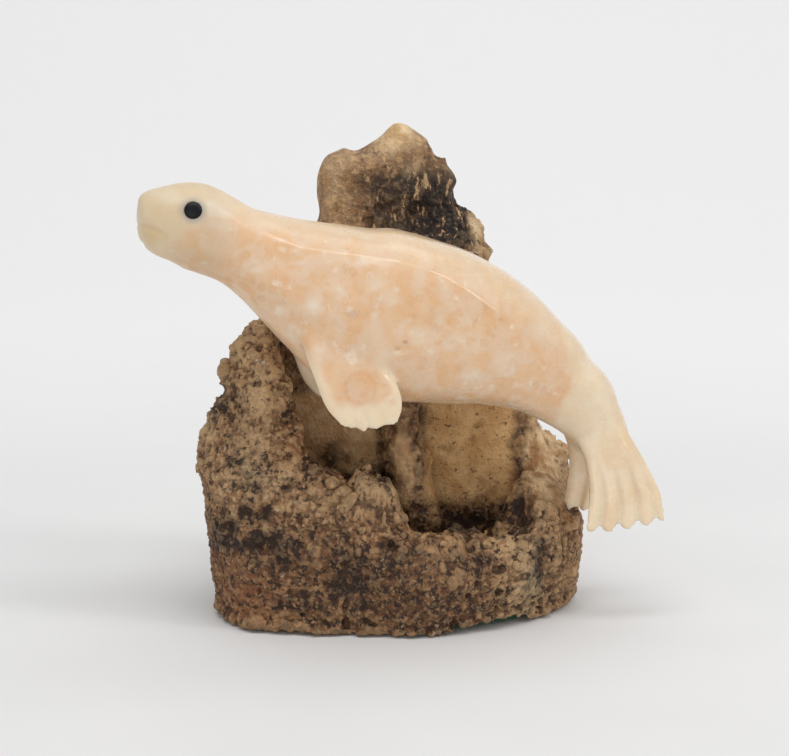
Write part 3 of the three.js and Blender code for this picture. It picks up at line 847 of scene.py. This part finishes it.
def make_base(seal):
    seal_tree = BVHTree.FromPolygons(
        [tuple(p) for p in points_of(seal)], [tuple(p.vertices) for p in seal.data.polygons]
    )
    base = knobby_block(seal_tree)

    # Crumbs, crystals and pits
    points = points_of(base)
    normals = normals_of(base)
    local = points / MM
    smooth = smoothness(points, normals)
    amount = 1 - 0.85 * smooth
    peak = smooth_step(local[:, 2], 46.0, 50.0)
    stretched = local.copy()
    stretched[:, 2] *= 1 - 0.45 * peak
    warp = np.column_stack([noise(local, 1.3, 91 + k) for k in range(3)]) * 0.35
    first, _, own = cells(stretched + warp, 1.25, 41)
    crumb = (0.45 - np.minimum(first, 0.85)) * (0.25 + 1.1 * own)
    first2, second2, own2 = cells(stretched + 0.6 * warp, 0.66, 51)
    tops = 0.75 * own2 * np.clip((second2 - first2) / 0.3, 0, 1)
    fine = 0.5 * (0.42 - np.minimum(first2, 0.8)) + tops - 0.25
    broad = noise(local, 4.6, 61)
    middle = noise(local + 2 * warp, 2.1, 62)
    moved = 0.2 * crumb + 0.26 * fine + 0.5 * broad + 0.36 * middle + 0.1 * noise(local, 0.42, 63)
    px, py = pixel(points)
    eaten = smooth_step(noise(local, 6.0, 72), -0.2, 0.3)
    holes = smooth_step(noise(local + warp, 1.5, 71), 0.45, 0.75) * eaten
    front = smooth_step(-normals[:, 1], -0.5, 0.1)
    holes = np.maximum(holes, front * strongest(DEEP_PATCHES, px, py))
    moved -= 0.6 * holes * (1 - 0.8 * smooth)
    moved = moved * amount + summed(BUMPS, px, py)
    reach = np.array([seal_tree.find_nearest(Vector(p))[3] for p in points]) / MM
    moved = np.where(reach < 1.1, np.minimum(moved, 0.0), moved)
    moved *= smooth_step(local[:, 2], 0.1, 1.2)
    points = points + normals * (moved * MM)[:, None]

    # The recess behind the right rim, and rims lower or higher than the solid's
    inner = smooth_step(local[:, 1], -10.5, -8.0) * (local[:, 1] < 2.0) * (local[:, 2] < 20.0)
    points[:, 2] -= 2.4 * MM * inner * patch(px, py, 486, 490, 530, 528, 7)
    crest = (local[:, 1] < -2.0) * smooth_step(local[:, 2], 9.0, 13.0)
    points[:, 2] -= 1.5 * MM * crest * patch(px, py, 478, 492, 518, 532, 8)
    outer = (local[:, 1] < -5.0) * smooth_step(local[:, 2], 7.0, 12.0)
    points[:, 2] += 2.7 * MM * outer * patch(px, py, 354, 476, 398, 514, 8)
    points[:, 2] += 1.5 * MM * outer * patch(px, py, 424, 528, 462, 566, 8)

    # The foot is flat, and raised where the felt shows
    x = points[:, 0] / MM
    lifted = smooth_step(x, 7.9, 9.0) * smooth_step(-x, -20.2, -19.0) * (points[:, 1] < -5 * MM)
    points[:, 2] = np.maximum(points[:, 2], (0.05 + 0.9 * lifted) * MM)
    points = relaxed(points, edges_of(base), 8, smooth ** 2)
    set_points(base, points)
    thinned_at(base, (normals[:, 1] > 0.3) | (normals[:, 2] < -0.6), BACK_TRIANGLES)
    thinned(base, CRUST_TRIANGLES)
    points = points_of(base)
    set_points(base, relaxed(points, edges_of(base), 12, smoothness(points, normals_of(base))))
    shade_smooth(base)
    return base


def colour_base(base):
    points = points_of(base)
    normals = normals_of(base)
    local = points / MM
    px, py = pixel(points)
    front = smooth_step(-normals[:, 1], -0.6, 0.0)
    before = smooth_step(-local[:, 1], 0.0, 6.0)
    smooth = smoothness(points, normals)
    edges = edges_of(base)
    even = relaxed(points, edges, 9, np.ones(len(points)))
    hollow = np.einsum("ij,ij->i", even - points, normals) / MM
    # The mesh's curvature: for painted shade in the hollows and painted highlights on the crests
    attribute(base, "hollow", 0.5 + hollow * 2.4)
    attribute(base, "smooth_mask", smooth)
    peak = smooth_step(local[:, 2], 45.0, 49.0)
    ragged = 6 * noise(local, 3.2, 81) + 6 * noise(local, 1.4, 82)
    qx, qy = px + ragged, py + 6 * noise(local, 2.6, 83) + 3 * noise(local, 1.1, 84)
    lobe = np.clip(1.35 * np.maximum(blot(px, py, 334, 186, 22, 34), blot(px, py, 394, 134, 16, 19)), 0, 1)
    lobe = np.maximum(lobe, 0.7 * blot(px, py, 372, 157, 15, 12))
    black = peak * patch(qx, qy, 362, 172, 470, 264, 9) * (1 - lobe)
    black *= 0.85 + 0.15 * smooth_step(px, 395, 420)
    black = np.maximum(black, peak * blot(qx, qy, 430, 188, 22, 26))
    behind = smooth_step(local[:, 1], 8.0, 12.0) * smooth_step(normals[:, 1], -0.1, 0.4)
    black *= 1 - 0.6 * behind
    attribute(base, "black", black)
    low = before * front
    # Dirt, and painted shade in the holes of the front
    dark = strongest(DIRT_AND_SHADE_PATCHES, qx, qy)
    attribute(base, "dark", dark * np.maximum(low, front * 0.9))
    attribute(base, "sandy", strongest(SANDY_PATCHES, qx, qy) * front)
    foot = smooth_step(-local[:, 2], -21.0, -12.0)
    attribute(base, "low", foot * (1 - 0.7 * smooth_step(qx, 470, 520)))
    # The left pocket: tan, and paler still with painted light, where the seal shades it
    pocket = 0.9 * patch(qx, qy, 282, 394, 380, 466, 9) * smooth_step(local[:, 1], -6.0, -2.0)
    pocket = np.maximum(pocket, 0.6 * patch(qx, qy, 396, 436, 412, 506, 6))
    attribute(base, "pocket", pocket * front)
    pillar = blot(px, py, 537, 462, 9, 40) + 0.6 * patch(qx, qy, 524, 430, 566, 500, 6)
    attribute(base, "pillar", pillar * front)
    warm = np.maximum(blot(qx, qy, 246, 595, 34, 34), 0.6 * blot(qx, qy, 300, 440, 26, 34))
    attribute(base, "warm", warm * front)
    green = np.maximum(0.7 * blot(qx, qy, 244, 469, 14, 12), 0.8 * blot(qx, qy, 531, 580, 12, 40))
    attribute(base, "green", green * front)
    attribute(base, "plum", blot(qx, qy, 226, 545, 16, 12) * front)
    pale = peak * np.maximum(0.35 * lobe, np.clip(1.3 * blot(px, py, 396, 134, 17, 20), 0, 1))
    pale = np.maximum(pale, 0.8 * peak * blot(qx, qy, 415, 182, 6, 18))
    pale = np.maximum(pale, 0.9 * peak * blot(px, py, 471, 230, 13, 16))
    attribute(base, "pale", pale)
    plate = patch(px, py, 424, 396, 514, 500, 8) * smooth_step(local[:, 1], -6.0, -2.0)
    attribute(base, "plate", plate * front)


def make_felt():
    low, high = (np.array(c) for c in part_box("felt_pad"))
    sides = 420
    outline = felt_outline()
    edge = round_outline(outline, sides)
    centre = outline.mean(axis=0)
    thick = high[2] - low[2]
    rings = []
    profile = [
        (0.0, 0.02), (0.25, 0.02), (0.5, 0.02), (0.75, 0.02), (0.94, 0.02), (0.99, 0.05),
        (1.0, 0.2), (1.004, 0.45), (1.002, 0.7), (0.995, 0.93), (0.97, 0.98), (0.8, 0.98), (0.4, 0.98),
        (0.0, 0.98),
    ]
    for share, height in profile:
        share = max(share, 0.01)
        ring = centre + (edge - centre) * share
        z = np.full(sides, low[2] + thick * height)
        rings.append(np.column_stack([ring, z]))
    points = np.vstack(rings)
    away = points[:, :2] - centre
    fuzz = 0.05 * noise(points / MM, 0.5, 91) + 0.05 * noise(points / MM, 0.22, 92)
    fuzz *= smooth_step(np.repeat([p[0] for p in profile], sides), 0.9, 1.0) * MM
    points[:, :2] += away / np.maximum(np.hypot(*away.T), 1e-6)[:, None] * fuzz[:, None]
    felt = new_object("felt_sheet", points, tube_faces(len(profile), sides))
    turn_out(felt)
    shade_smooth(felt)
    x, y = edge[:, 0], edge[:, 1]
    area = 0.5 * abs(np.sum(x * np.roll(y, -1) - y * np.roll(x, -1)))
    return felt, tuple(float(v) for v in (edge.max(axis=0) - edge.min(axis=0))), float(area)


# Shader nodes
class Shader:
    def __init__(self, name):
        self.material = bpy.data.materials.new(name)
        self.material.use_nodes = True
        self.tree = self.material.node_tree
        self.tree.nodes.clear()
        self.out = self.tree.nodes.new("ShaderNodeOutputMaterial")
        self.bsdf = self.tree.nodes.new("ShaderNodeBsdfPrincipled")
        self.tree.links.new(self.bsdf.outputs["BSDF"], self.out.inputs["Surface"])

    def put(self, socket, value):
        if isinstance(value, bpy.types.NodeSocket):
            self.tree.links.new(value, socket)
        else:
            if isinstance(value, (tuple, list)) and len(value) == 3 and len(socket.default_value) == 4:
                value = (*value, 1.0)
            socket.default_value = value

    def set(self, **values):
        for key, value in values.items():
            self.put(self.bsdf.inputs[key.replace("_", " ")], value)

    def node(self, kind, settings=None, **inputs):
        made = self.tree.nodes.new(kind)
        for key, value in (settings or {}).items():
            setattr(made, key, value)
        for key, value in inputs.items():
            self.put(made.inputs[key.replace("_", " ")], value)
        return made

    def math(self, operation, a, b=0.5, clamp=False):
        made = self.node("ShaderNodeMath", {"operation": operation, "use_clamp": clamp})
        self.put(made.inputs[0], a)
        self.put(made.inputs[1], b)
        return made.outputs[0]

    def times(self, a, b):
        return self.math("MULTIPLY", a, b)

    def mask(self, name):
        return self.node("ShaderNodeAttribute", {"attribute_name": name}).outputs["Fac"]

    def range(self, value, low, high, to_low=0.0, to_high=1.0):
        made = self.node("ShaderNodeMapRange", {"interpolation_type": "SMOOTHSTEP"})
        for key, number in (("Value", value), ("From Min", low), ("From Max", high),
                            ("To Min", to_low), ("To Max", to_high)):
            self.put(made.inputs[key], number)
        return made.outputs["Result"]

    def mix(self, factor, a, b, blend="MIX"):
        made = self.node("ShaderNodeMix", {"data_type": "RGBA", "blend_type": blend, "clamp_factor": True})
        self.put(made.inputs[0], factor)
        self.put(made.inputs[6], a)
        self.put(made.inputs[7], b)
        return made.outputs[2]

    def noise(self, where, scale, detail=3.0, roughness=0.55):
        numbers = {"Scale": scale, "Detail": detail, "Roughness": roughness}
        return self.node("ShaderNodeTexNoise", Vector=where, **numbers).outputs["Fac"]

    def cells(self, where, scale, feature="F1", output="Distance"):
        made = self.node("ShaderNodeTexVoronoi", {"feature": feature}, Scale=scale, Vector=where)
        return made.outputs[output]

    # A tone laid over a colour where an attribute of the mesh says so
    def tint(self, colour, name, share, tone):
        return self.mix(self.times(self.mask(name), share), colour, tone)

    # A place for textures that are drawn out upwards
    def upright(self, where, share):
        return self.node("ShaderNodeMapping", Scale=(1.0, 1.0, share), Vector=where).outputs[0]

    def where(self):
        return self.node("ShaderNodeTexCoord").outputs["Object"]

    def warped(self, where, scale, strength):
        made = self.node("ShaderNodeTexNoise", Scale=scale, Detail=2.0, Vector=where)
        centred = self.node("ShaderNodeVectorMath", {"operation": "SUBTRACT"})
        self.put(centred.inputs[0], made.outputs["Color"])
        self.put(centred.inputs[1], (0.5, 0.5, 0.5))
        scaled = self.node("ShaderNodeVectorMath", {"operation": "SCALE"})
        self.put(scaled.inputs[0], centred.outputs[0])
        self.put(scaled.inputs["Scale"], strength)
        added = self.node("ShaderNodeVectorMath", {"operation": "ADD"})
        self.put(added.inputs[0], where)
        self.put(added.inputs[1], scaled.outputs[0])
        return added.outputs[0]

    def bump(self, height, strength, distance):
        made = self.node("ShaderNodeBump", Height=height, Strength=strength, Distance=distance)
        return made.outputs["Normal"]


def linear(r, g, b):
    def one(c):
        c /= 255
        return c / 12.92 if c <= 0.04045 else ((c + 0.055) / 1.055) ** 2.4
    return (one(r), one(g), one(b))


def tusk_material():
    s = Shader("tusk")
    where = s.where()
    tan = linear(214, 164, 112)

    # The outer layer: cream with faint upright streaks
    cloud = s.noise(where, 190.0, 4.0)
    outer = s.mix(s.range(cloud, 0.35, 0.68), linear(231, 206, 171), linear(238, 219, 190))
    streak = s.noise(s.upright(where, 0.3), 700.0, 3.0)
    outer = s.mix(s.range(streak, 0.5, 0.75, 0.0, 0.25), outer, linear(228, 196, 150))

    # The core: peach and rose, with lumps, soft rings and pale and dark spots
    patchy = s.noise(s.warped(where, 400.0, 0.0014), 330.0, 5.0, 0.6)
    inner = s.mix(s.range(patchy, 0.38, 0.6), linear(227, 182, 135), linear(227, 195, 162))
    lumps = s.cells(s.warped(where, 500.0, 0.0012), 420.0, feature="SMOOTH_F1")
    inner = s.mix(s.range(lumps, 0.3, 0.75, 0.0, 0.35), inner, linear(236, 212, 184))
    ringed = s.range(s.noise(where, 150.0, 2.0), 0.45, 0.62)
    ring = s.cells(s.warped(where, 600.0, 0.0009), 580.0)
    inner = s.mix(s.times(s.range(ring, 0.16, 0.4, 0.3, 0.0), ringed), inner, linear(221, 172, 122))
    band = s.math("ABSOLUTE", s.math("SUBTRACT", ring, 0.3), 0.0)
    inner = s.mix(s.times(s.range(band, 0.0, 0.16, 0.34, 0.0), ringed), inner, tan)
    inner = s.mix(s.times(s.range(ring, 0.04, 0.16, 0.3, 0.0), ringed), inner, tan)
    spots = s.noise(s.warped(where, 500.0, 0.0006), 520.0, 4.0)
    inner = s.mix(s.range(spots, 0.58, 0.72, 0.0, 0.6), inner, linear(240, 224, 204))
    dark = s.noise(s.warped(where, 500.0, 0.001), 560.0, 3.0)
    inner = s.mix(s.range(dark, 0.6, 0.78, 0.0, 0.5), inner, linear(216, 160, 108))
    broken = s.range(s.noise(where, 330.0, 4.0), 0.25, 0.5, 0.8, 1.0)
    colour = s.mix(s.math("MULTIPLY", s.mask("core"), broken, True), outer, inner)

    # Stains and marks
    colour = s.tint(colour, "blade", 0.6, linear(240, 218, 186))
    colour = s.tint(colour, "stain", 0.4, linear(222, 158, 98))
    cloudy = s.range(s.noise(where, 700.0, 4.0), 0.3, 0.55, 0.35, 0.8)
    colour = s.tint(colour, "cloudy", cloudy, linear(238, 226, 208))
    colour = s.tint(colour, "rings", 0.35, linear(216, 158, 104))
    colour = s.tint(colour, "pit", 0.75, linear(150, 108, 74))
    colour = s.tint(colour, "chin", 0.55, linear(228, 192, 136))
    colour = s.mix(s.mask("head"), colour, (0.87, 0.88, 0.86), "MULTIPLY")
    colour = s.tint(colour, "halo", 0.6, linear(146, 144, 146))
    # Painted shade: a darker line along the groove of the mouth
    colour = s.tint(colour, "mouth", 0.3, linear(206, 172, 130))
    matt = s.range(s.noise(where, 900.0, 3.0), 0.3, 0.7, 0.38, 0.46)
    s.set(
        Base_Color=colour,
        Roughness=s.math("SUBTRACT", matt, s.times(s.mask("gloss"), 0.15)),
        IOR=1.53,
        Subsurface_Weight=0.35,
        Subsurface_Radius=(1.0, 0.62, 0.36),
        Subsurface_Scale=0.0013,
        Coat_Weight=s.times(s.mask("gloss"), 0.5),
        Coat_Roughness=0.08,
        Normal=s.bump(s.noise(where, 600.0, 2.0), 0.08, 0.0002),
    )
    return s.material


def stone_material():
    s = Shader("rough_stone")
    where = s.where()
    upright = s.upright(where, 0.35)
    hollow = s.mask("hollow")
    big = s.noise(s.warped(where, 200.0, 0.002), 190.0, 5.0, 0.6)
    mid = s.noise(s.warped(where, 600.0, 0.0008), 700.0, 4.0, 0.6)
    fine = s.noise(where, 2400.0, 3.0, 0.6)
    light = linear(198, 162, 118)

    # The crust: tan, sandy, light and brown, in patches and in grains
    colour = s.mix(s.range(big, 0.4, 0.6), linear(158, 119, 82), linear(120, 84, 55))
    sandy = s.mix(s.range(big, 0.35, 0.65), linear(212, 180, 138), linear(178, 144, 104))
    colour = s.mix(s.mask("sandy"), colour, sandy)
    colour = s.mix(s.range(mid, 0.54, 0.66, 0.0, 0.75), colour, light)
    colour = s.mix(s.range(mid, 0.34, 0.46, 0.85, 0.0), colour, linear(92, 62, 40))
    grain = s.cells(s.warped(where, 1500.0, 0.0004), 1700.0, output="Color")
    tone, other = s.node("ShaderNodeSeparateColor", Color=grain).outputs[:2]
    colour = s.mix(s.range(tone, 0.62, 1.0, 0.0, 0.5), colour, light)
    colour = s.mix(s.range(tone, 0.0, 0.3, 0.6, 0.0), colour, linear(70, 50, 36))
    glint = s.times(s.range(other, 0.965, 0.98), s.range(s.noise(where, 170.0, 2.0), 0.56, 0.64))
    colour = s.mix(s.times(glint, 0.6), colour, linear(236, 226, 208))
    colour = s.tint(colour, "warm", 0.65, linear(166, 114, 76))
    colour = s.tint(colour, "green", 0.5, linear(142, 140, 116))
    colour = s.tint(colour, "plum", 0.6, linear(98, 70, 66))
    colour = s.mix(s.times(s.mask("low"), 0.85), colour, (0.62, 0.51, 0.43), "MULTIPLY")

    # The worn walls of the pockets, tan and made paler with painted light where the seal shades them, the
    # pale lobes of the peak and the pillar on the right
    pocket = s.range(s.noise(where, 500.0, 4.0), 0.35, 0.65)
    colour = s.tint(colour, "pocket", 0.92, s.mix(pocket, linear(255, 214, 162), linear(222, 174, 122)))
    plate = s.range(s.noise(where, 320.0, 5.0), 0.35, 0.68)
    plate = s.mix(plate, linear(232, 190, 134), linear(204, 156, 102))
    specks = s.range(s.noise(where, 1500.0, 3.0, 0.7), 0.6, 0.68)
    plate = s.mix(s.times(specks, 0.85), plate, linear(62, 44, 30))
    smear = s.noise(s.warped(where, 300.0, 0.002), 260.0, 4.0, 0.6)
    plate = s.mix(s.range(smear, 0.54, 0.68, 0.0, 0.6), plate, linear(150, 104, 62))
    colour = s.mix(s.mask("plate"), colour, plate)
    pale = s.range(s.noise(where, 300.0, 4.0), 0.4, 0.6)
    colour = s.tint(colour, "pale", 0.95, s.mix(pale, linear(244, 216, 174), linear(202, 166, 118)))
    pillar = s.range(s.noise(upright, 480.0, 4.0), 0.4, 0.62)
    colour = s.tint(colour, "pillar", 0.9, s.mix(pillar, linear(244, 214, 168), linear(176, 132, 88)))

    # The black crystals of the peak, with pale ones among them, and the dirt with painted shade in the
    # holes
    crystals = s.noise(upright, 1000.0, 4.0, 0.65)
    black = s.mix(s.range(crystals, 0.45, 0.66), linear(18, 13, 11), linear(84, 59, 41))
    black = s.mix(s.range(crystals, 0.57, 0.64, 0.0, 0.9), black, linear(190, 158, 120))
    colour = s.mix(s.mask("black"), colour, black)
    # Near black: dirt, and painted shade in the holes
    dirt_and_shade = s.math("MULTIPLY", s.mask("dark"), s.range(mid, 0.34, 0.62, 1.0, 0.45), True)
    colour = s.mix(dirt_and_shade, colour, linear(26, 19, 18))

    # Dark and pale specks, painted shade in the hollows and painted highlights on the crests, all less on
    # worn and on black places
    rough_share = s.math("SUBTRACT", 1.0, s.mask("smooth_mask"))
    speck = s.noise(s.warped(where, 700.0, 0.0008), 900.0, 4.0, 0.65)
    speck = s.math("ADD", speck, s.times(s.mask("dark"), 0.2))
    speck = s.math("ADD", speck, s.times(s.mask("low"), 0.05))
    veiled = s.times(s.math("ADD", s.mask("black"), s.mask("pocket")), 0.6)
    clear = s.math("SUBTRACT", rough_share, veiled, True)
    colour = s.mix(s.times(s.range(speck, 0.58, 0.65, 0.0, 0.92), clear), colour, linear(44, 29, 20))
    pale_speck = s.range(s.noise(where, 1300.0, 3.0, 0.6), 0.63, 0.72, 0.0, 0.6)
    darkened = s.math("MAXIMUM", s.mask("black"), s.mask("dark"))
    spared = s.math("SUBTRACT", 1.0, s.times(darkened, 0.75))
    colour = s.mix(s.times(pale_speck, s.times(rough_share, spared)), colour, linear(206, 174, 132))
    # Painted shade in the hollows
    shade = s.times(s.range(hollow, 0.54, 0.95, 0.0, 0.6), clear)
    colour = s.mix(shade, colour, linear(62, 42, 28))
    upper = s.math("SUBTRACT", rough_share, s.times(s.mask("low"), 0.4), True)
    # Painted highlights on the crests
    crest = s.times(s.range(hollow, 0.46, 0.2, 0.0, 0.42), s.times(spared, upper))
    colour = s.mix(crest, colour, linear(208, 174, 130))

    height = s.math("ADD", s.times(fine, 0.8), s.cells(s.warped(where, 1500.0, 0.0004), 1700.0))
    height = s.math("ADD", height, s.times(s.cells(where, 3600.0), 0.5))
    s.set(
        Base_Color=colour,
        Roughness=s.math("SUBTRACT", s.range(fine, 0.4, 0.7, 0.75, 0.5), s.times(glint, 0.3)),
        Specular_IOR_Level=0.4,
        Subsurface_Weight=0.08,
        Subsurface_Radius=(1.0, 0.6, 0.35),
        Subsurface_Scale=0.0008,
        Normal=s.bump(height, 0.7, 0.0003),
    )
    return s.material


def eye_material():
    s = Shader("eye_black")
    where = s.where()
    tone = s.mix(s.noise(where, 1500.0), linear(8, 8, 12), linear(18, 17, 22))
    matt = s.range(s.noise(where, 3000.0), 0.3, 0.7, 0.3, 0.4)
    s.set(Base_Color=tone, Roughness=matt, Specular_IOR_Level=0.25)
    return s.material


def felt_material():
    s = Shader("felt_green")
    where = s.where()
    fibre = s.noise(s.warped(where, 2500.0, 0.0005), 5200.0, 4.0, 0.7)
    tone = s.mix(s.range(fibre, 0.35, 0.65), linear(6, 70, 44), linear(24, 112, 74))
    s.set(
        Base_Color=tone,
        Roughness=0.95,
        Specular_IOR_Level=0.2,
        Sheen_Weight=0.5,
        Sheen_Roughness=0.5,
        Normal=s.bump(fibre, 0.8, 0.0002),
    )
    return s.material


def floor_material():
    s = Shader("floor_paper")
    where = s.where()
    cloud = s.range(s.noise(where, 18.0, 3.0), 0.3, 0.7)
    tone = s.mix(cloud, linear(232, 232, 232), linear(236, 236, 236))
    # Painted light: the paper grows paler towards the back and up the wall, where less light reaches it
    depth = s.node("ShaderNodeSeparateXYZ", Vector=where).outputs[1]
    tone = s.mix(s.range(depth, 0.0, 0.25), tone, linear(252, 252, 252))
    grain = s.bump(s.noise(where, 900.0), 0.04, 0.0002)
    s.set(Base_Color=tone, Roughness=0.8, Specular_IOR_Level=0.2, Normal=grain)
    return s.material


# The pale floor, curved up behind the carving
def make_backdrop():
    profile = [(-2.5, 0.0), (0.25, 0.0)]
    radius = 0.35
    for k in range(1, 17):
        t = k / 16 * math.pi / 2
        profile.append((0.25 + radius * math.sin(t), radius - radius * math.cos(t)))
    profile.append((0.60, 1.6))
    half = 2.2
    vertices = [(x, y, z) for y, z in profile for x in (-half, half)]
    faces = [(2 * i, 2 * i + 1, 2 * i + 3, 2 * i + 2) for i in range(len(profile) - 1)]
    floor = new_object("backdrop", vertices, faces)
    shade_smooth(floor)
    floor.data.materials.append(floor_material())
    return floor


def area_light(name, at, aim, size, power):
    data = bpy.data.lights.new(name, "AREA")
    data.shape = "RECTANGLE"
    data.size, data.size_y = size
    data.energy = power
    lamp = bpy.data.objects.new(name, data)
    lamp.location = at
    lamp.rotation_euler = (Vector(aim) - Vector(at)).to_track_quat("-Z", "Y").to_euler()
    bpy.context.scene.collection.objects.link(lamp)


def make_light():
    world = bpy.data.worlds.new("studio")
    world.use_nodes = True
    back = world.node_tree.nodes["Background"]
    back.inputs["Color"].default_value = (1.0, 1.0, 1.0, 1.0)
    back.inputs["Strength"].default_value = 0.49
    bpy.context.scene.world = world
    area_light("key", (0.02, -0.24, 0.60), (0.0, 0.0, 0.03), (0.5, 0.14), 1.1)
    area_light("front", (-0.10, -0.62, 0.16), (0.0, 0.0, 0.03), (0.5, 0.35), 0.54)
    area_light("side", (0.42, -0.22, 0.42), (0.0, 0.0, 0.03), (0.07, 0.30), 0.60)
    area_light("wall", (0.0, 0.20, 0.80), (0.0, 0.30, 0.0), (0.9, 0.3), 0.95)
    bpy.context.scene.view_settings.view_transform = "Standard"
    bpy.context.scene.view_settings.look = "None"


def make_camera():
    data = bpy.data.cameras.new("camera")
    data.sensor_fit = "HORIZONTAL"
    data.sensor_width = 36.0
    data.lens = FOCAL_PX * 36.0 / IMAGE[0]
    data.clip_start = 0.01
    data.clip_end = 20.0
    camera = bpy.data.objects.new("camera", data)
    camera.location = tuple(CAMERA_AT)
    camera.rotation_euler = (math.pi / 2 - CAMERA_TILT, 0.0, 0.0)
    bpy.context.scene.collection.objects.link(camera)
    bpy.context.scene.camera = camera


make_camera()
make_light()
make_backdrop()

seal = make_seal()
colour_seal(seal)
seal.data.materials.clear()
seal.data.materials.append(tusk_material())
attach(seal, "root")
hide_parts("seal")

base = make_base(seal)
colour_base(base)
base.data.materials.clear()
base.data.materials.append(stone_material())
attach(base, "root")
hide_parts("base")

eye_finish = eye_material()
for node, side in (("eye_right", -1), ("eye_left", 1)):
    eye = make_eye("domed_" + node, side)
    eye.data.materials.append(eye_finish)
    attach(eye, "root")
    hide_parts(node)

felt, felt_flat, felt_area = make_felt()
felt.data.materials.append(felt_material())
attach(felt, "root")
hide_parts("felt_pad")
